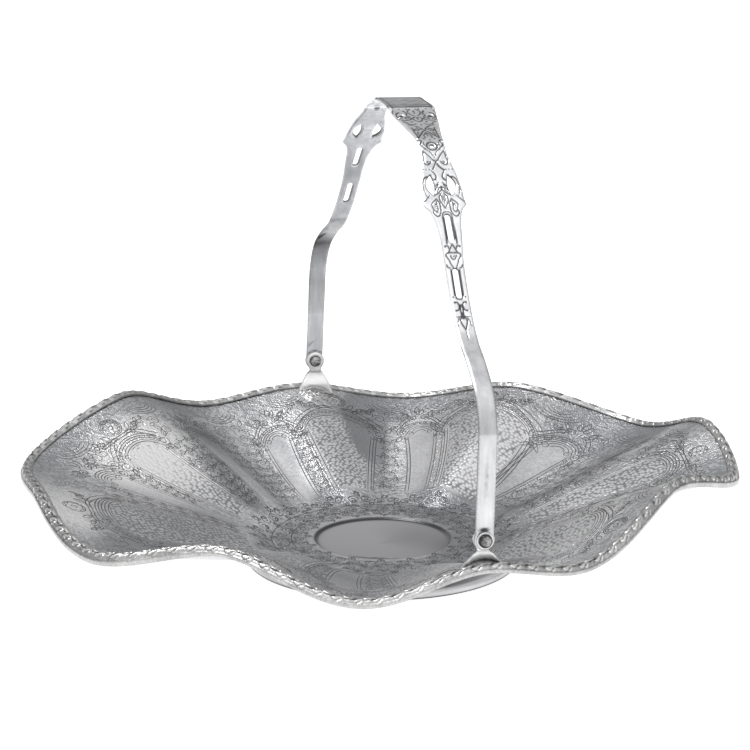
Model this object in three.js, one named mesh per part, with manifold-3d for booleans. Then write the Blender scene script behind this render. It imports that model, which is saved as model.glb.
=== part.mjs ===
// Silver-plated handled basket: a fluted oval dish with an applied leaf-and-scroll border, a
// spreading foot, two soldered lugs and one stamped strap handle that swings on two rivets.
//
// Millimetres, +Z up. +X runs along the longer way of the dish, the lugs stand at +Y (back) and
// -Y (front), and the origin is at the middle of the foot's underside.
import * as THREE from "three";
import { mergeVertices } from "three/addons/utils/BufferGeometryUtils.js";
import Module from "manifold-3d";

const wasm = await Module();
wasm.setup();

// Dish
const rim_radius = 142; // mean reach of the border's crest
const rim_height = 42; // mean height of the border's crest
const dish_sheet = 1.2; // thickness of the dish metal
const floor_radius = 48; // plain floor, where the flutes start
const floor_height = 8.6; // upper face of the floor
const well_radius = 28.4; // sunk polished disc in the middle
const well_depth = 1.2;
const well_step = 1.3; // width of the slope round the well
// Soft lobes: each row is a high or a low of the rim, as degrees, share of rim_radius, share of
// rim_height there and straight across the dish, and how the wall climbs there and across
// (under 1 it bows upwards, over 1 it stays low for longer).
const rim_shares = [
  [2, 1.051, 1.167, 1.057, 0.75, 0.68],
  [27, 1.091, 0.779, 0.867, 1.5, 0.85],
  [48, 0.965, 1.057, 1.083, 0.75, 0.7],
  [72, 1.035, 0.771, 0.783, 1.2, 0.95],
  [92, 0.993, 0.957, 1.038, 0.8, 0.75],
  [108.5, 0.982, 0.89, 0.888, 1.35, 0.95],
  [136, 0.95, 1.29, 1.319, 0.8, 0.7],
  [163, 1.07, 0.99, 1.007, 0.75, 0.8],
];
const cove_share = 0.04; // softens the foot of the wall
const wall_step_shares = [0.03, 0.1, 0.2, 0.33, 0.48, 0.64, 0.8, 0.92, 1];

// Border: a rolled strip that covers the dish's edge
const border_in = 2.3; // reach of its lip inside the crest
const border_out = 3.05; // reach outside the crest
const border_drop = 5.3; // height of its outer face below the crest
const border_seat = 1.5; // crest above the dish metal that it covers
const border_outside_shares = [
  [-1, -0.283], [-0.6, -0.066], [0, 0], [0.41, -0.085], [0.74, -0.3], [0.934, -0.604],
  [1, -0.906], [0.85, -1], [0.62, -0.96],
];
const border_inside_shares = [[0.52, -0.68], [0.36, -0.42], [0.16, -0.217], [-0.17, -0.217], [-1, -0.36]];

// Foot: a spreading collar under the floor
const foot_set_in = 3; // its neck stands this far inside the edge of the floor
const foot_spread = 13.5; // and the bead this far outside the neck
const foot_top_radius = floor_radius - foot_set_in;
const foot_radius = foot_top_radius + foot_spread;
const foot_wall = 1.6;
const foot_bead = 2.2; // flat width of the bead that it stands on
// Outer face from the top to the bead as shares of [the spread, the height].
const foot_shares = [[0, 1], [0.16, 0.82], [0.42, 0.6], [0.72, 0.5], [0.9, 0.46], [0.98, 0.36], [1, 0.2], [0.97, 0]];

// Handle: one strap, its two arms alike
const axis_offset = 3.8; // the rivets sit this far to +X of the dish's middle
const pivot_rise = 9.1; // rivets above the mean crest
const strap_set_in = 2.5; // middle of the strap inside the mean crest at each rivet
const pivot_height = rim_height + pivot_rise;
const half_span = rim_radius - strap_set_in;
const handle_rise = 147; // middle of the strap at the top, above the rivets
const strap_thickness = 1.6;
const plate_width = 19.7; // the strap at its widest, beside the flat top
const strap_end_radius = 4.2;
const handle_lean = 1.8; // degrees towards +X
// Stations from a rivet to the middle of the top as shares of [half_span, handle_rise, plate_width].
const arm_shares = [
  [1, 0, 0.386], [0.995, 0.184, 0.386], [0.988, 0.299, 0.386], [0.944, 0.383, 0.386],
  [0.851, 0.446, 0.386], [0.767, 0.488, 0.386], [0.704, 0.537, 0.391], [0.631, 0.612, 0.4],
  [0.588, 0.667, 0.411], [0.552, 0.721, 0.46], [0.513, 0.762, 0.55], [0.487, 0.786, 0.7],
  [0.473, 0.799, 0.898], [0.459, 0.812, 0.86], [0.437, 0.83, 0.858], [0.399, 0.866, 0.756],
  [0.362, 0.895, 0.624], [0.337, 0.913, 0.553], [0.299, 0.939, 0.553], [0.237, 0.956, 0.67],
  [0.172, 0.971, 0.822], [0.1, 0.989, 0.975], [0.075, 0.997, 1], [0, 1, 0.975],
];
const arm_steps = 2; // steps from one station to the next
// Piercings of one arm, each at a share of handle_rise: two long slots with round ends.
const slot_width = 2.5;
const slot_shares = [0.745, 0.613];
const slot_length = 13.2;
const scroll_share = 0.842; // the pair of C-shaped openings
const scroll_length = 10.2;
const scroll_width = 4.2;
const scroll_reach = 4.7; // from the middle line
const round_hole_share = 0.93;
const round_hole_radius = 1;
const eye_hole_share = 0.98; // the eyes of the volutes beside the top
const eye_hole_reach = 6.2;
const eye_hole_radius = 1;

// Lugs, rivets and washers
const lug_plate = 1.4;
const lug_eye_radius = 4.2;
const lug_neck = 5.4; // width
const lug_foot = 21; // width where it meets the border
const lug_tab = 10.5; // reach of its foot over the dish
const seat_shares = [-0.8, -0.5, -0.2, 0, 0.2, 0.5, 0.8]; // places across the foot
const rivet_radius = 1.5;
const rivet_head_radius = 2.75;
const rivet_head_height = 1.7;
const rivet_tail_radius = 2.6;
const rivet_tail_height = 1.3;
const washer_radius = 3.6;
const washer_thickness = 0.7;

const gap = 0.3; // between neighbouring pieces
const overrun = 3; // how far a cut runs past the metal
const dish_stations = 96;
const round_sides = 20;

const silver = (color, roughness) => new THREE.MeshStandardMaterial({ color, roughness, metalness: 1 });
const material_dish = silver(0x8f9193, 0.4);
const material_border = silver(0xa3a4a5, 0.38);
const material_foot = silver(0x9c9e9f, 0.34);
const material_handle = silver(0xd6d7d8, 0.26);
const material_lug = silver(0xb9babb, 0.3);
const material_rivet = silver(0x77787a, 0.42);

const degrees = THREE.MathUtils.degToRad;

// Closed solids keep positions only, with their shared points merged.
function plain(geometry) {
  const copy = geometry.clone();
  for (const name of ["normal", "uv"]) copy.deleteAttribute(name);
  return mergeVertices(copy, dish_sheet / 1e4);
}

function solid(geometry) {
  const merged = plain(geometry);
  return new wasm.Manifold(new wasm.Mesh({
    numProp: 3,
    vertProperties: new Float32Array(merged.attributes.position.array),
    triVerts: new Uint32Array(merged.index.array),
  }));
}

function geometry_of(manifold) {
  const mesh = manifold.getMesh();
  const geometry = new THREE.BufferGeometry();
  geometry.setAttribute("position", new THREE.BufferAttribute(new Float32Array(mesh.vertProperties), 3));
  geometry.setIndex(new THREE.BufferAttribute(new Uint32Array(mesh.triVerts), 1));
  return geometry;
}

function piece(name, geometry, material) {
  geometry.computeVertexNormals();
  const mesh = new THREE.Mesh(geometry, material);
  mesh.name = name;
  return mesh;
}

// The rim: crest radius and height at an angle, and how the wall climbs to it. Between the rows
// everything eases from one value to the next.
const rim_rows = [
  ...rim_shares.map(([angle, radius, height, , climb]) => ({ angle, radius, height, climb })),
  ...rim_shares.map(([angle, radius, , height, , climb]) => ({ angle: angle + 180, radius, height, climb })),
];

function rim_at(theta) {
  const angle = ((THREE.MathUtils.radToDeg(theta) - rim_rows[0].angle) % 360 + 360) % 360 + rim_rows[0].angle;
  let index = rim_rows.length - 1;
  while (rim_rows[index].angle > angle) index -= 1;
  const low = rim_rows[index];
  const high = rim_rows[(index + 1) % rim_rows.length];
  const span = ((high.angle - low.angle) % 360 + 360) % 360;
  const ease = THREE.MathUtils.smoothstep((angle - low.angle) / span, 0, 1);
  const mix = (key) => THREE.MathUtils.lerp(low[key], high[key], ease);
  return { radius: rim_radius * mix("radius"), height: rim_height * mix("height"), climb: mix("climb") };
}

// Upper face of the dish metal.
function dish_top(theta, radius) {
  if (radius <= floor_radius) {
    const into_well = THREE.MathUtils.clamp((well_radius + well_step - radius) / well_step, 0, 1);
    return floor_height - well_depth * into_well;
  }
  const rim = rim_at(theta);
  const share = (radius - floor_radius) / (rim.radius - floor_radius);
  const eased = share * share * (1 + cove_share) / (share + cove_share);
  return floor_height + (rim.height - border_seat - floor_height) * eased ** rim.climb;
}

// Dish: a turned sheet whose wall points are then moved out to the rim and up onto the flutes.
function make_dish() {
  const rings = [0, well_radius, well_radius + well_step, floor_radius];
  for (const share of wall_step_shares) rings.push(floor_radius + share * (rim_radius - floor_radius));
  const upper = rings.map((radius) => new THREE.Vector2(radius, dish_sheet));
  const lower = rings.map((radius) => new THREE.Vector2(radius, 0));
  const geometry = plain(new THREE.LatheGeometry([...lower, ...upper.reverse()], dish_stations).rotateX(Math.PI / 2));
  const position = geometry.attributes.position;
  for (let index = 0; index < position.count; index += 1) {
    const theta = Math.atan2(position.getY(index), position.getX(index));
    const turned = Math.hypot(position.getX(index), position.getY(index));
    const share = Math.max(0, (turned - floor_radius) / (rim_radius - floor_radius));
    const radius = share > 0 ? floor_radius + share * (rim_at(theta).radius - floor_radius) : turned;
    const below = position.getZ(index) - dish_sheet;
    position.setXYZ(index, radius * Math.cos(theta), radius * Math.sin(theta), dish_top(theta, radius) + below);
  }
  return geometry;
}

// Border: its section, turned once round and then carried to the crest.
function make_border() {
  const point = ([out, down]) => new THREE.Vector2(rim_radius + out * (out < 0 ? border_in : border_out), down * border_drop);
  const section = [...border_outside_shares, ...border_inside_shares].map(point).reverse();
  section.push(section[0].clone());
  const geometry = plain(new THREE.LatheGeometry(section, dish_stations).rotateX(Math.PI / 2));
  const position = geometry.attributes.position;
  for (let index = 0; index < position.count; index += 1) {
    const theta = Math.atan2(position.getY(index), position.getX(index));
    const turned = Math.hypot(position.getX(index), position.getY(index));
    const rim = rim_at(theta);
    const radius = rim.radius + turned - rim_radius;
    position.setXYZ(index, radius * Math.cos(theta), radius * Math.sin(theta), rim.height + position.getZ(index));
  }
  return geometry;
}

// Foot: a hollow collar that spreads from the floor's underside to the bead it stands on.
function make_foot() {
  const height = floor_height - dish_sheet - gap;
  const spread = foot_radius - foot_top_radius;
  const outside = foot_shares.map(([out, up]) => new THREE.Vector2(foot_top_radius + out * spread, up * height));
  const bead = outside[outside.length - 1].x;
  const inside = [new THREE.Vector2(bead - foot_bead, 0)];
  for (const [out, up] of foot_shares.slice(1, -3).reverse()) {
    inside.push(new THREE.Vector2(foot_top_radius + out * spread - foot_wall / 2, up * height - foot_wall));
  }
  inside.push(new THREE.Vector2(foot_top_radius - 2 * foot_wall, height - foot_wall));
  inside.push(new THREE.Vector2(foot_top_radius - 2 * foot_wall, height));
  const section = [...outside, ...inside].reverse();
  section.push(section[0].clone());
  return plain(new THREE.LatheGeometry(section, dish_stations / 2).rotateX(Math.PI / 2));
}

// Handle path: width, reach and rise along the middle of the strap, from rivet to rivet.
const arm_rows = arm_shares.map(([reach, rise, width]) => new THREE.Vector3(width * plate_width, reach * half_span, rise * handle_rise));
const strap_rows = [...arm_rows, ...arm_rows.slice(0, -1).reverse().map((row) => new THREE.Vector3(row.x, -row.y, row.z))];
const strap_path = new THREE.CatmullRomCurve3(strap_rows, false, "centripetal");

// Middle of the strap, and the direction along it, where it has risen by a share on the +Y arm.
function arm_at(rise_share) {
  const steps = (arm_rows.length - 1) * arm_steps * arm_steps;
  let best = 0;
  for (let step = 0; step <= steps; step += 1) {
    const here = strap_path.getPoint(step / steps / 2).z;
    if (here <= rise_share * handle_rise) best = step / steps / 2;
  }
  const middle = strap_path.getPoint(best);
  const along = strap_path.getTangent(best).setX(0).normalize();
  return { middle: middle.setX(0), along };
}

// A cutter drawn in the strap's plane: X across the strap, Y along it, through its thickness.
function arm_cutter(shape, rise_share, reach) {
  const depth = strap_thickness + 2 * overrun;
  const { middle, along } = arm_at(rise_share);
  const across = new THREE.Vector3(1, 0, 0);
  const through = new THREE.Vector3().crossVectors(across, along);
  const place = new THREE.Matrix4().makeBasis(across, along, through).setPosition(middle);
  const geometry = new THREE.ExtrudeGeometry(shape, { depth, bevelEnabled: false, curveSegments: round_sides / 4 });
  return geometry.translate(reach, 0, -depth / 2).applyMatrix4(place);
}

function slot_shape(length, width) {
  const shape = new THREE.Shape();
  const straight = (length - width) / 2;
  shape.absarc(0, straight, width / 2, 0, Math.PI, false);
  shape.absarc(0, -straight, width / 2, Math.PI, 2 * Math.PI, false);
  return shape;
}

// A C-shaped opening: its back bows outwards and its inner side follows at a shallower bow.
function scroll_shape(side) {
  const shape = new THREE.Shape();
  const half = scroll_length / 2;
  shape.moveTo(-side * scroll_width / 4, -half);
  shape.quadraticCurveTo(side * scroll_width, 0, -side * scroll_width / 4, half);
  shape.quadraticCurveTo(-side * scroll_width / 2, half / 2, -side * scroll_width / 2, 0);
  shape.quadraticCurveTo(-side * scroll_width / 2, -half / 2, -side * scroll_width / 4, -half);
  return shape;
}

function circle_shape(radius) {
  return new THREE.Shape().absarc(0, 0, radius, 0, 2 * Math.PI, false);
}

function make_handle() {
  const steps = (strap_rows.length - 1) * arm_steps;
  const strip = new THREE.BoxGeometry(1, 1, steps, 1, 1, steps);
  const position = strip.attributes.position;
  for (let index = 0; index < position.count; index += 1) {
    const along = THREE.MathUtils.clamp(position.getZ(index) / steps + 1 / 2, 0, 1);
    const middle = strap_path.getPoint(along);
    const tangent = strap_path.getTangent(along).setX(0).normalize();
    const side = position.getX(index) * middle.x;
    const off = position.getY(index) * strap_thickness;
    position.setXYZ(index, side, middle.y + off * tangent.z, middle.z - off * tangent.y);
  }
  let strap = solid(strip);
  const arms = [1, -1];
  for (const arm of arms) {
    const end = new THREE.CylinderGeometry(strap_end_radius, strap_end_radius, strap_thickness, round_sides);
    strap = strap.add(solid(end.translate(0, arm * half_span, 0)));
  }
  for (const arm of arms) {
    const turn = arm > 0 ? 0 : Math.PI;
    const cut = (geometry) => { strap = strap.subtract(solid(geometry.rotateZ(turn))); };
    for (const share of slot_shares) cut(arm_cutter(slot_shape(slot_length, slot_width), share, 0));
    for (const side of arms) {
      cut(arm_cutter(scroll_shape(side), scroll_share, side * scroll_reach));
      cut(arm_cutter(circle_shape(eye_hole_radius), eye_hole_share, side * eye_hole_reach));
    }
    cut(arm_cutter(circle_shape(round_hole_radius), round_hole_share, 0));
    const hole = rivet_radius + gap;
    cut(new THREE.CylinderGeometry(hole, hole, strap_thickness + 2 * overrun, round_sides).translate(0, half_span, 0));
  }
  return geometry_of(strap);
}

// Pieces at a rivet, drawn for the +Y side with the rivet's axis along Y at the origin's height.
const strap_face = half_span + strap_thickness / 2;
const lug_face = half_span - strap_thickness / 2 - gap; // the lug's outer face

// Lug: a bent strip, seen from the side, cut to its outline, seen from the front.
function make_lug(way) {
  const rim = rim_at(Math.atan2(way * lug_face, axis_offset));
  const middle = lug_face - lug_plate / 2;
  // Its foot clears the highest part of the dish that it covers.
  const under = (reach, across) => {
    const x = axis_offset + across * lug_foot / 2;
    return dish_top(Math.atan2(way * reach, x), Math.hypot(reach, x));
  };
  const seat = (reach) => Math.max(...seat_shares.map((across) => under(reach, across))) + gap + lug_plate / 2 - pivot_height;
  const bend = middle - lug_plate;
  const spine = [
    [middle, lug_eye_radius + overrun], [middle, rim.height - pivot_height], [middle - lug_plate / 4, seat(middle) + lug_plate],
    [bend - lug_plate / 4, seat(bend) + lug_plate / 4], [middle - lug_tab / 2, seat(middle - lug_tab / 2) + lug_plate / 12],
    [middle - lug_tab, seat(middle - lug_tab) + lug_plate / 12],
  ].map(([out, up]) => new THREE.Vector2(out, up));
  const faces = [];
  for (const side of [1, -1]) {
    const face = spine.map((point, index) => {
      const before = spine[Math.max(index - 1, 0)];
      const after = spine[Math.min(index + 1, spine.length - 1)];
      const along = after.clone().sub(before).normalize();
      return new THREE.Vector2(point.x - side * along.y * lug_plate / 2, point.y + side * along.x * lug_plate / 2);
    });
    faces.push(side > 0 ? face : face.reverse());
  }
  const side_view = new THREE.Shape([...faces[0], ...faces[1]]);
  const width = lug_foot + 2 * overrun;
  const strip = new THREE.ExtrudeGeometry(side_view, { depth: width, bevelEnabled: false });
  strip.applyMatrix4(new THREE.Matrix4().makeBasis(
    new THREE.Vector3(0, 1, 0), new THREE.Vector3(0, 0, 1), new THREE.Vector3(1, 0, 0),
  )).translate(-width / 2, 0, 0);
  // Outline: round eye, neck, flared foot with drawn-in shoulders, rounded tab.
  const neck = lug_neck / 2;
  const foot = lug_foot / 2;
  const brow = rim.height - pivot_height + lug_plate; // just above the border's crest
  const tab = seat(middle - lug_tab) - lug_plate;
  const neck_angle = Math.asin(neck / lug_eye_radius);
  const outline = new THREE.Shape();
  outline.absarc(0, 0, lug_eye_radius, -Math.PI / 2 + neck_angle, -Math.PI / 2 - neck_angle, false);
  outline.quadraticCurveTo(-neck, brow + lug_plate, -foot * 0.6, brow);
  outline.lineTo(-foot, brow - lug_plate);
  outline.lineTo(-foot * 0.8, tab / 2 + brow / 2);
  outline.quadraticCurveTo(-foot * 0.6, tab, 0, tab);
  outline.quadraticCurveTo(foot * 0.6, tab, foot * 0.8, tab / 2 + brow / 2);
  outline.lineTo(foot, brow - lug_plate);
  outline.lineTo(foot * 0.6, brow);
  outline.quadraticCurveTo(neck, brow + lug_plate, lug_eye_radius * Math.sin(neck_angle), -lug_eye_radius * Math.cos(neck_angle));
  const depth = lug_tab + 2 * overrun;
  const front_view = new THREE.ExtrudeGeometry(outline, { depth, bevelEnabled: false, curveSegments: round_sides / 2 });
  front_view.rotateX(Math.PI / 2).translate(0, lug_face + overrun, 0);
  const hole_radius = rivet_radius + gap;
  const hole = new THREE.CylinderGeometry(hole_radius, hole_radius, lug_plate + 2 * overrun, round_sides).translate(0, middle, 0);
  return geometry_of(solid(strip).intersect(solid(front_view)).subtract(solid(hole)));
}

function make_washer() {
  const inner = rivet_radius + gap;
  const near = strap_face + gap;
  const far = near + washer_thickness;
  const section = [[inner, near], [washer_radius, near], [washer_radius, far], [inner, far], [inner, near]];
  return plain(new THREE.LatheGeometry(section.map(([radius, out]) => new THREE.Vector2(radius, out)), round_sides));
}

// Rivet: peened tail inside the lug, shank, domed head over the washer.
function make_rivet() {
  const tail = lug_face - lug_plate - gap;
  const head = strap_face + gap + washer_thickness + gap;
  const dome = (radius, height, from, way) => [[radius, 0.35], [radius * 0.8, 0.75], [radius * 0.4, 0.95], [0, 1]]
    .map(([out, up]) => new THREE.Vector2(out, from + way * up * height));
  const section = [
    ...dome(rivet_tail_radius, rivet_tail_height, tail, -1).reverse(),
    new THREE.Vector2(rivet_tail_radius, tail), new THREE.Vector2(rivet_radius, tail),
    new THREE.Vector2(rivet_radius, head), new THREE.Vector2(rivet_head_radius, head),
    ...dome(rivet_head_radius, rivet_head_height, head, 1),
  ];
  return plain(new THREE.LatheGeometry(section, round_sides));
}

const basket = new THREE.Group();
basket.add(piece("bowl", make_dish(), material_dish));
basket.add(piece("rim_border", make_border(), material_border));
basket.add(piece("foot_ring", make_foot(), material_foot));

const pivots = new THREE.Group();
pivots.position.set(axis_offset, 0, pivot_height);
basket.add(pivots);

const handle = piece("handle", make_handle(), material_handle);
handle.rotation.y = degrees(handle_lean);
pivots.add(handle);

for (const [name, turn] of [["back", 0], ["front", Math.PI]]) {
  const side = new THREE.Group();
  side.rotation.z = turn;
  side.add(piece(`lug_${name}`, make_lug(Math.cos(turn)), material_lug));
  side.add(piece(`washer_${name}`, make_washer(), material_rivet));
  side.add(piece(`rivet_${name}`, make_rivet(), material_rivet));
  pivots.add(side);
}

export default basket;
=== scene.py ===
import math

import bpy
import numpy as np
from bpy.props import FloatProperty, FloatVectorProperty, IntProperty, PointerProperty
from mathutils import Matrix, Vector
from mathutils.geometry import delaunay_2d_cdt


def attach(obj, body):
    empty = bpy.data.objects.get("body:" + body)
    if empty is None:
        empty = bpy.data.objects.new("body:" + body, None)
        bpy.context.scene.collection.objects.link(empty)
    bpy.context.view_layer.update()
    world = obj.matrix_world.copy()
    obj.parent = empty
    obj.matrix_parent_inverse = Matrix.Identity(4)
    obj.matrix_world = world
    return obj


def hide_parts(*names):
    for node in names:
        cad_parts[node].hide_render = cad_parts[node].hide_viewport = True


# Silver-plated handled basket. The chased dish, its relief border, the pierced strap handle and
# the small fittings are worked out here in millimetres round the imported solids.

bl_info = {
    "name": "Handled Basket",
    "version": (1, 0, 0),
    "blender": (4, 5, 0),
    "location": "View3D > Sidebar > Basket",
    "description": "Builds a silver-plated handled basket round its packed solids",
    "category": "Object",
}

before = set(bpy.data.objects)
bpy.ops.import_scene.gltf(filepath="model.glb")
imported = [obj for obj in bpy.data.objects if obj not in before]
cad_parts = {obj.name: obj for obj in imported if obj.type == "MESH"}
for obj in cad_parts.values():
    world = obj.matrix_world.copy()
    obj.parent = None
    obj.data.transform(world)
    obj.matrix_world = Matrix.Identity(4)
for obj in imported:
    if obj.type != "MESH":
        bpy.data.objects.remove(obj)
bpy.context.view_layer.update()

MM = 0.001  # metres in a millimetre
TURN = 2 * math.pi


def srgb(code):
    """Linear colour of an sRGB hex value such as #8f9193."""
    value = np.array([int(code[at:at + 2], 16) for at in (1, 3, 5)]) / 255
    linear = np.where(value <= 0.04045, value / 12.92, ((value + 0.055) / 1.055) ** 2.4)
    return tuple(float(v) for v in linear)


def length(name, about, millimetres):
    """A size that the user can change, given here in millimetres."""
    return FloatProperty(name=name, description=about, default=millimetres * MM, min=0, precision=5,
                         subtype="DISTANCE", unit="LENGTH")


def colour(name, about, code):
    """A colour that the user can change, given here as sRGB hex."""
    return FloatVectorProperty(name=name, description=about, default=srgb(code), min=0, max=1, size=3,
                               subtype="COLOR")


class BasketDish(bpy.types.PropertyGroup):
    """Sizes and colours of the dish and its chasing."""
    rim_radius: length("Rim radius", "Mean reach of the border's crest", 142)
    rim_height: length("Rim height", "Mean height of the border's crest", 42)
    sheet: length("Sheet", "Thickness of the dish metal", 1.2)
    floor_radius: length("Floor radius", "Where the flutes start", 48)
    floor_height: length("Floor height", "Upper face of the floor", 8.6)
    well_radius: length("Well radius", "Sunk polished disc in the middle", 28.4)
    well_depth: length("Well depth", "How far the middle of the disc is sunk", 2.4)
    line_width: length("Chased line", "Width of the widest chased line", 0.62)
    silver: colour("Silver", "Plate where it is rubbed", "#e8e8e9")
    tarnish: colour("Tarnish", "Plate where it is dull", "#949598")
    chased: colour("Chased line", "Oxide in the chased lines", "#464648")


class BasketBorder(bpy.types.PropertyGroup):
    """Sizes and colours of the relief border."""
    repeats: IntProperty(name="Repeats", description="Leaves round the rim", default=116, min=8)
    relief: length("Relief", "Height of the leaves over their ground", 0.4)
    silver: colour("Silver", "Plate on the relief", "#e6e6e5")
    tarnish: colour("Tarnish", "Oxide between the leaves", "#48484a")


class BasketHandle(bpy.types.PropertyGroup):
    """Sizes and colours of the strap handle and its fittings."""
    half_span: length("Half span", "Middle of the strap at each rivet", 139.5)
    rise: length("Rise", "Middle of the strap at the top over the rivets", 147)
    plate_width: length("Plate width", "The strap beside its flat top", 19.7)
    thickness: length("Thickness", "Strap metal", 1.6)
    end_radius: length("End radius", "Round ends of the strap", 4.2)
    groove: length("Groove", "Depth of the stamped lines", 0.26)
    silver: colour("Silver", "Polished plate", "#f6f7f9")
    tarnish: colour("Tarnish", "Oxide in the stamped lines", "#444446")


class BasketFoot(bpy.types.PropertyGroup):
    """Sizes and colours of the foot."""
    radius: length("Radius", "The bead that it stands on", 58.5)
    neck: length("Neck", "Radius under the floor", 45)
    wall: length("Wall", "Thickness of the foot's metal", 1.6)
    silver: colour("Silver", "Plain plate", "#dcdcdd")


class BasketStage(bpy.types.PropertyGroup):
    """Floor and light."""
    floor: colour("Floor", "Plain pale floor", "#bcbcbc")
    glow: FloatProperty(name="Floor glow", description="Light that the floor gives off", default=0.78, min=0)
    key: FloatProperty(name="Key light", description="Strength of the soft sun", default=1.3, min=0)
    sky: FloatProperty(name="Room", description="Strength of the light from all round", default=1.0, min=0)


class BasketSettings(bpy.types.PropertyGroup):
    """All the settings of the basket."""
    dish: PointerProperty(type=BasketDish)
    border: PointerProperty(type=BasketBorder)
    handle: PointerProperty(type=BasketHandle)
    foot: PointerProperty(type=BasketFoot)
    stage: PointerProperty(type=BasketStage)


def settings():
    """The basket's settings in this scene."""
    return bpy.context.scene.basket


def put(name, data):
    """A new object in the scene."""
    made = bpy.data.objects.new(name, data)
    bpy.context.scene.collection.objects.link(made)
    return made


# Meshes

def outward(points, faces):
    """Faces turned so that the closed shape that they make has a positive volume."""
    volume = 0.0
    for group in faces:
        first, second = points[group[:, 0]], points[group[:, 1]]
        for corner in range(2, group.shape[1]):
            third = points[group[:, corner]]
            volume += np.einsum("ij,ij->", first, np.cross(second, third))
            second = third
    return faces if volume > 0 else [group[:, ::-1] for group in faces]


def make_piece(name, points, faces, material, body, marks, replaced=(), sharp=35):
    """A piece on its body, from points in millimetres, arrays of faces and named values of its
    points. It is smooth but for edges of over sharp degrees."""
    mesh = bpy.data.meshes.new(name)
    mesh.vertices.add(len(points))
    mesh.vertices.foreach_set("co", (points * MM).astype(np.float32).ravel())
    corners = np.concatenate([group.ravel() for group in faces])
    counts = np.concatenate([np.full(len(group), group.shape[1]) for group in faces])
    mesh.loops.add(len(corners))
    mesh.loops.foreach_set("vertex_index", corners.astype(np.int32))
    mesh.polygons.add(len(counts))
    mesh.polygons.foreach_set("loop_start", np.concatenate([[0], np.cumsum(counts)[:-1]]).astype(np.int32))
    mesh.update(calc_edges=True)
    mesh.validate()
    for mark, values in marks.items():
        mesh.attributes.new(mark, "FLOAT", "POINT").data.foreach_set("value", np.asarray(values, np.float32))
    mesh.shade_smooth()
    mesh.set_sharp_from_angle(angle=math.radians(sharp))
    mesh.materials.append(material)
    piece = put(name, mesh)
    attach(piece, body)
    if replaced:
        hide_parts(*replaced)
    return piece


def grid_faces(rows, columns, wrap_rows=False, wrap_columns=False):
    """Four-sided faces of a grid of points stored row by row. A wrapped side joins its two ends."""
    row = np.arange(rows if wrap_rows else rows - 1)[:, None]
    column = np.arange(columns if wrap_columns else columns - 1)[None, :]
    after, beside = (row + 1) % rows, (column + 1) % columns
    corners = [row * columns + column, row * columns + beside, after * columns + beside,
               after * columns + column]
    return np.stack([np.broadcast_to(c, (row.size, column.size)).ravel() for c in corners], -1)


def capped_rings(rings, around):
    """Faces between rings of points stored ring by ring, and fans that close the first and the last
    ring about one more point each."""
    here, beside = np.arange(around), (np.arange(around) + 1) % around
    last, middle = (rings - 1) * around, np.full(around, rings * around)
    fans = np.vstack([np.stack([beside, here, middle], -1),
                      np.stack([last + here, last + beside, middle + 1], -1)])
    return [grid_faces(rings, around, False, True), fans]


def lathe(profile, segments):
    """A closed profile of (radius, height) turned once round Z: each point goes round on a circle."""
    angle = np.arange(segments) * TURN / segments
    radius, height = np.asarray(profile, float).T
    points = np.stack([np.cos(angle)[:, None] * radius, np.sin(angle)[:, None] * radius,
                       np.broadcast_to(height, (segments, len(height)))], -1).reshape(-1, 3)
    return points, [grid_faces(segments, len(profile), True, True)]


def smooth_path(points, steps):
    """Centripetal Catmull-Rom curve: each span is a cubic whose end slopes are weighted by the
    square roots of the distances to the points beside it."""
    points = np.asarray(points, float)
    padded = np.vstack([2 * points[0] - points[1], points, 2 * points[-1] - points[-2]])
    step = np.sqrt(np.linalg.norm(np.diff(padded, axis=0), axis=1))[:, None]
    p0, p1, p2, p3 = padded[:-3], padded[1:-2], padded[2:-1], padded[3:]
    d0, d1, d2 = step[:-2], step[1:-1], step[2:]
    leave = ((p1 - p0) / d0 - (p2 - p0) / (d0 + d1) + (p2 - p1) / d1) * d1
    arrive = ((p2 - p1) / d1 - (p3 - p1) / (d1 + d2) + (p3 - p2) / d2) * d1
    t = (np.arange(steps) / steps)[None, :, None]
    p1, p2, leave, arrive = (a[:, None] for a in (p1, p2, leave, arrive))
    curve = (p1 + leave * t + (3 * p2 - 3 * p1 - 2 * leave - arrive) * t ** 2
             + (2 * p1 - 2 * p2 + leave + arrive) * t ** 3)
    return np.vstack([curve.reshape(-1, points.shape[1]), points[-1:]])


def ease(value):
    """0 below 0, 1 above 1, and a smooth step between."""
    value = np.clip(value, 0, 1)
    return value * value * (3 - 2 * value)


def bell(*away):
    """1 in the middle and falling off to every side: e to the minus sum of the squares."""
    return np.exp(-sum(step ** 2 for step in away))


def ripple(x, y, z, pitch):
    """Gentle unevenness of hand-worked metal, about -1 to 1: slanted sine waves of near pitches
    multiplied."""
    k = TURN / pitch
    return (np.sin(k * (x + 0.31 * y) + 1.3) * np.sin(k * (0.83 * y - 0.27 * z) + 0.4)
            + np.sin(k * (0.61 * x - 0.79 * y + 0.5 * z) + 2.1) * np.sin(k * (0.37 * x + 0.9 * z) + 0.9)) / 2


# Materials

MATH, NOISE, BUMP, MARK = "ShaderNodeMath", "ShaderNodeTexNoise", "ShaderNodeBump", "ShaderNodeAttribute"
MIX = "ShaderNodeMix"  # for colours: factor in socket 0, colours in 6 and 7, and the result out of 2


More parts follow.
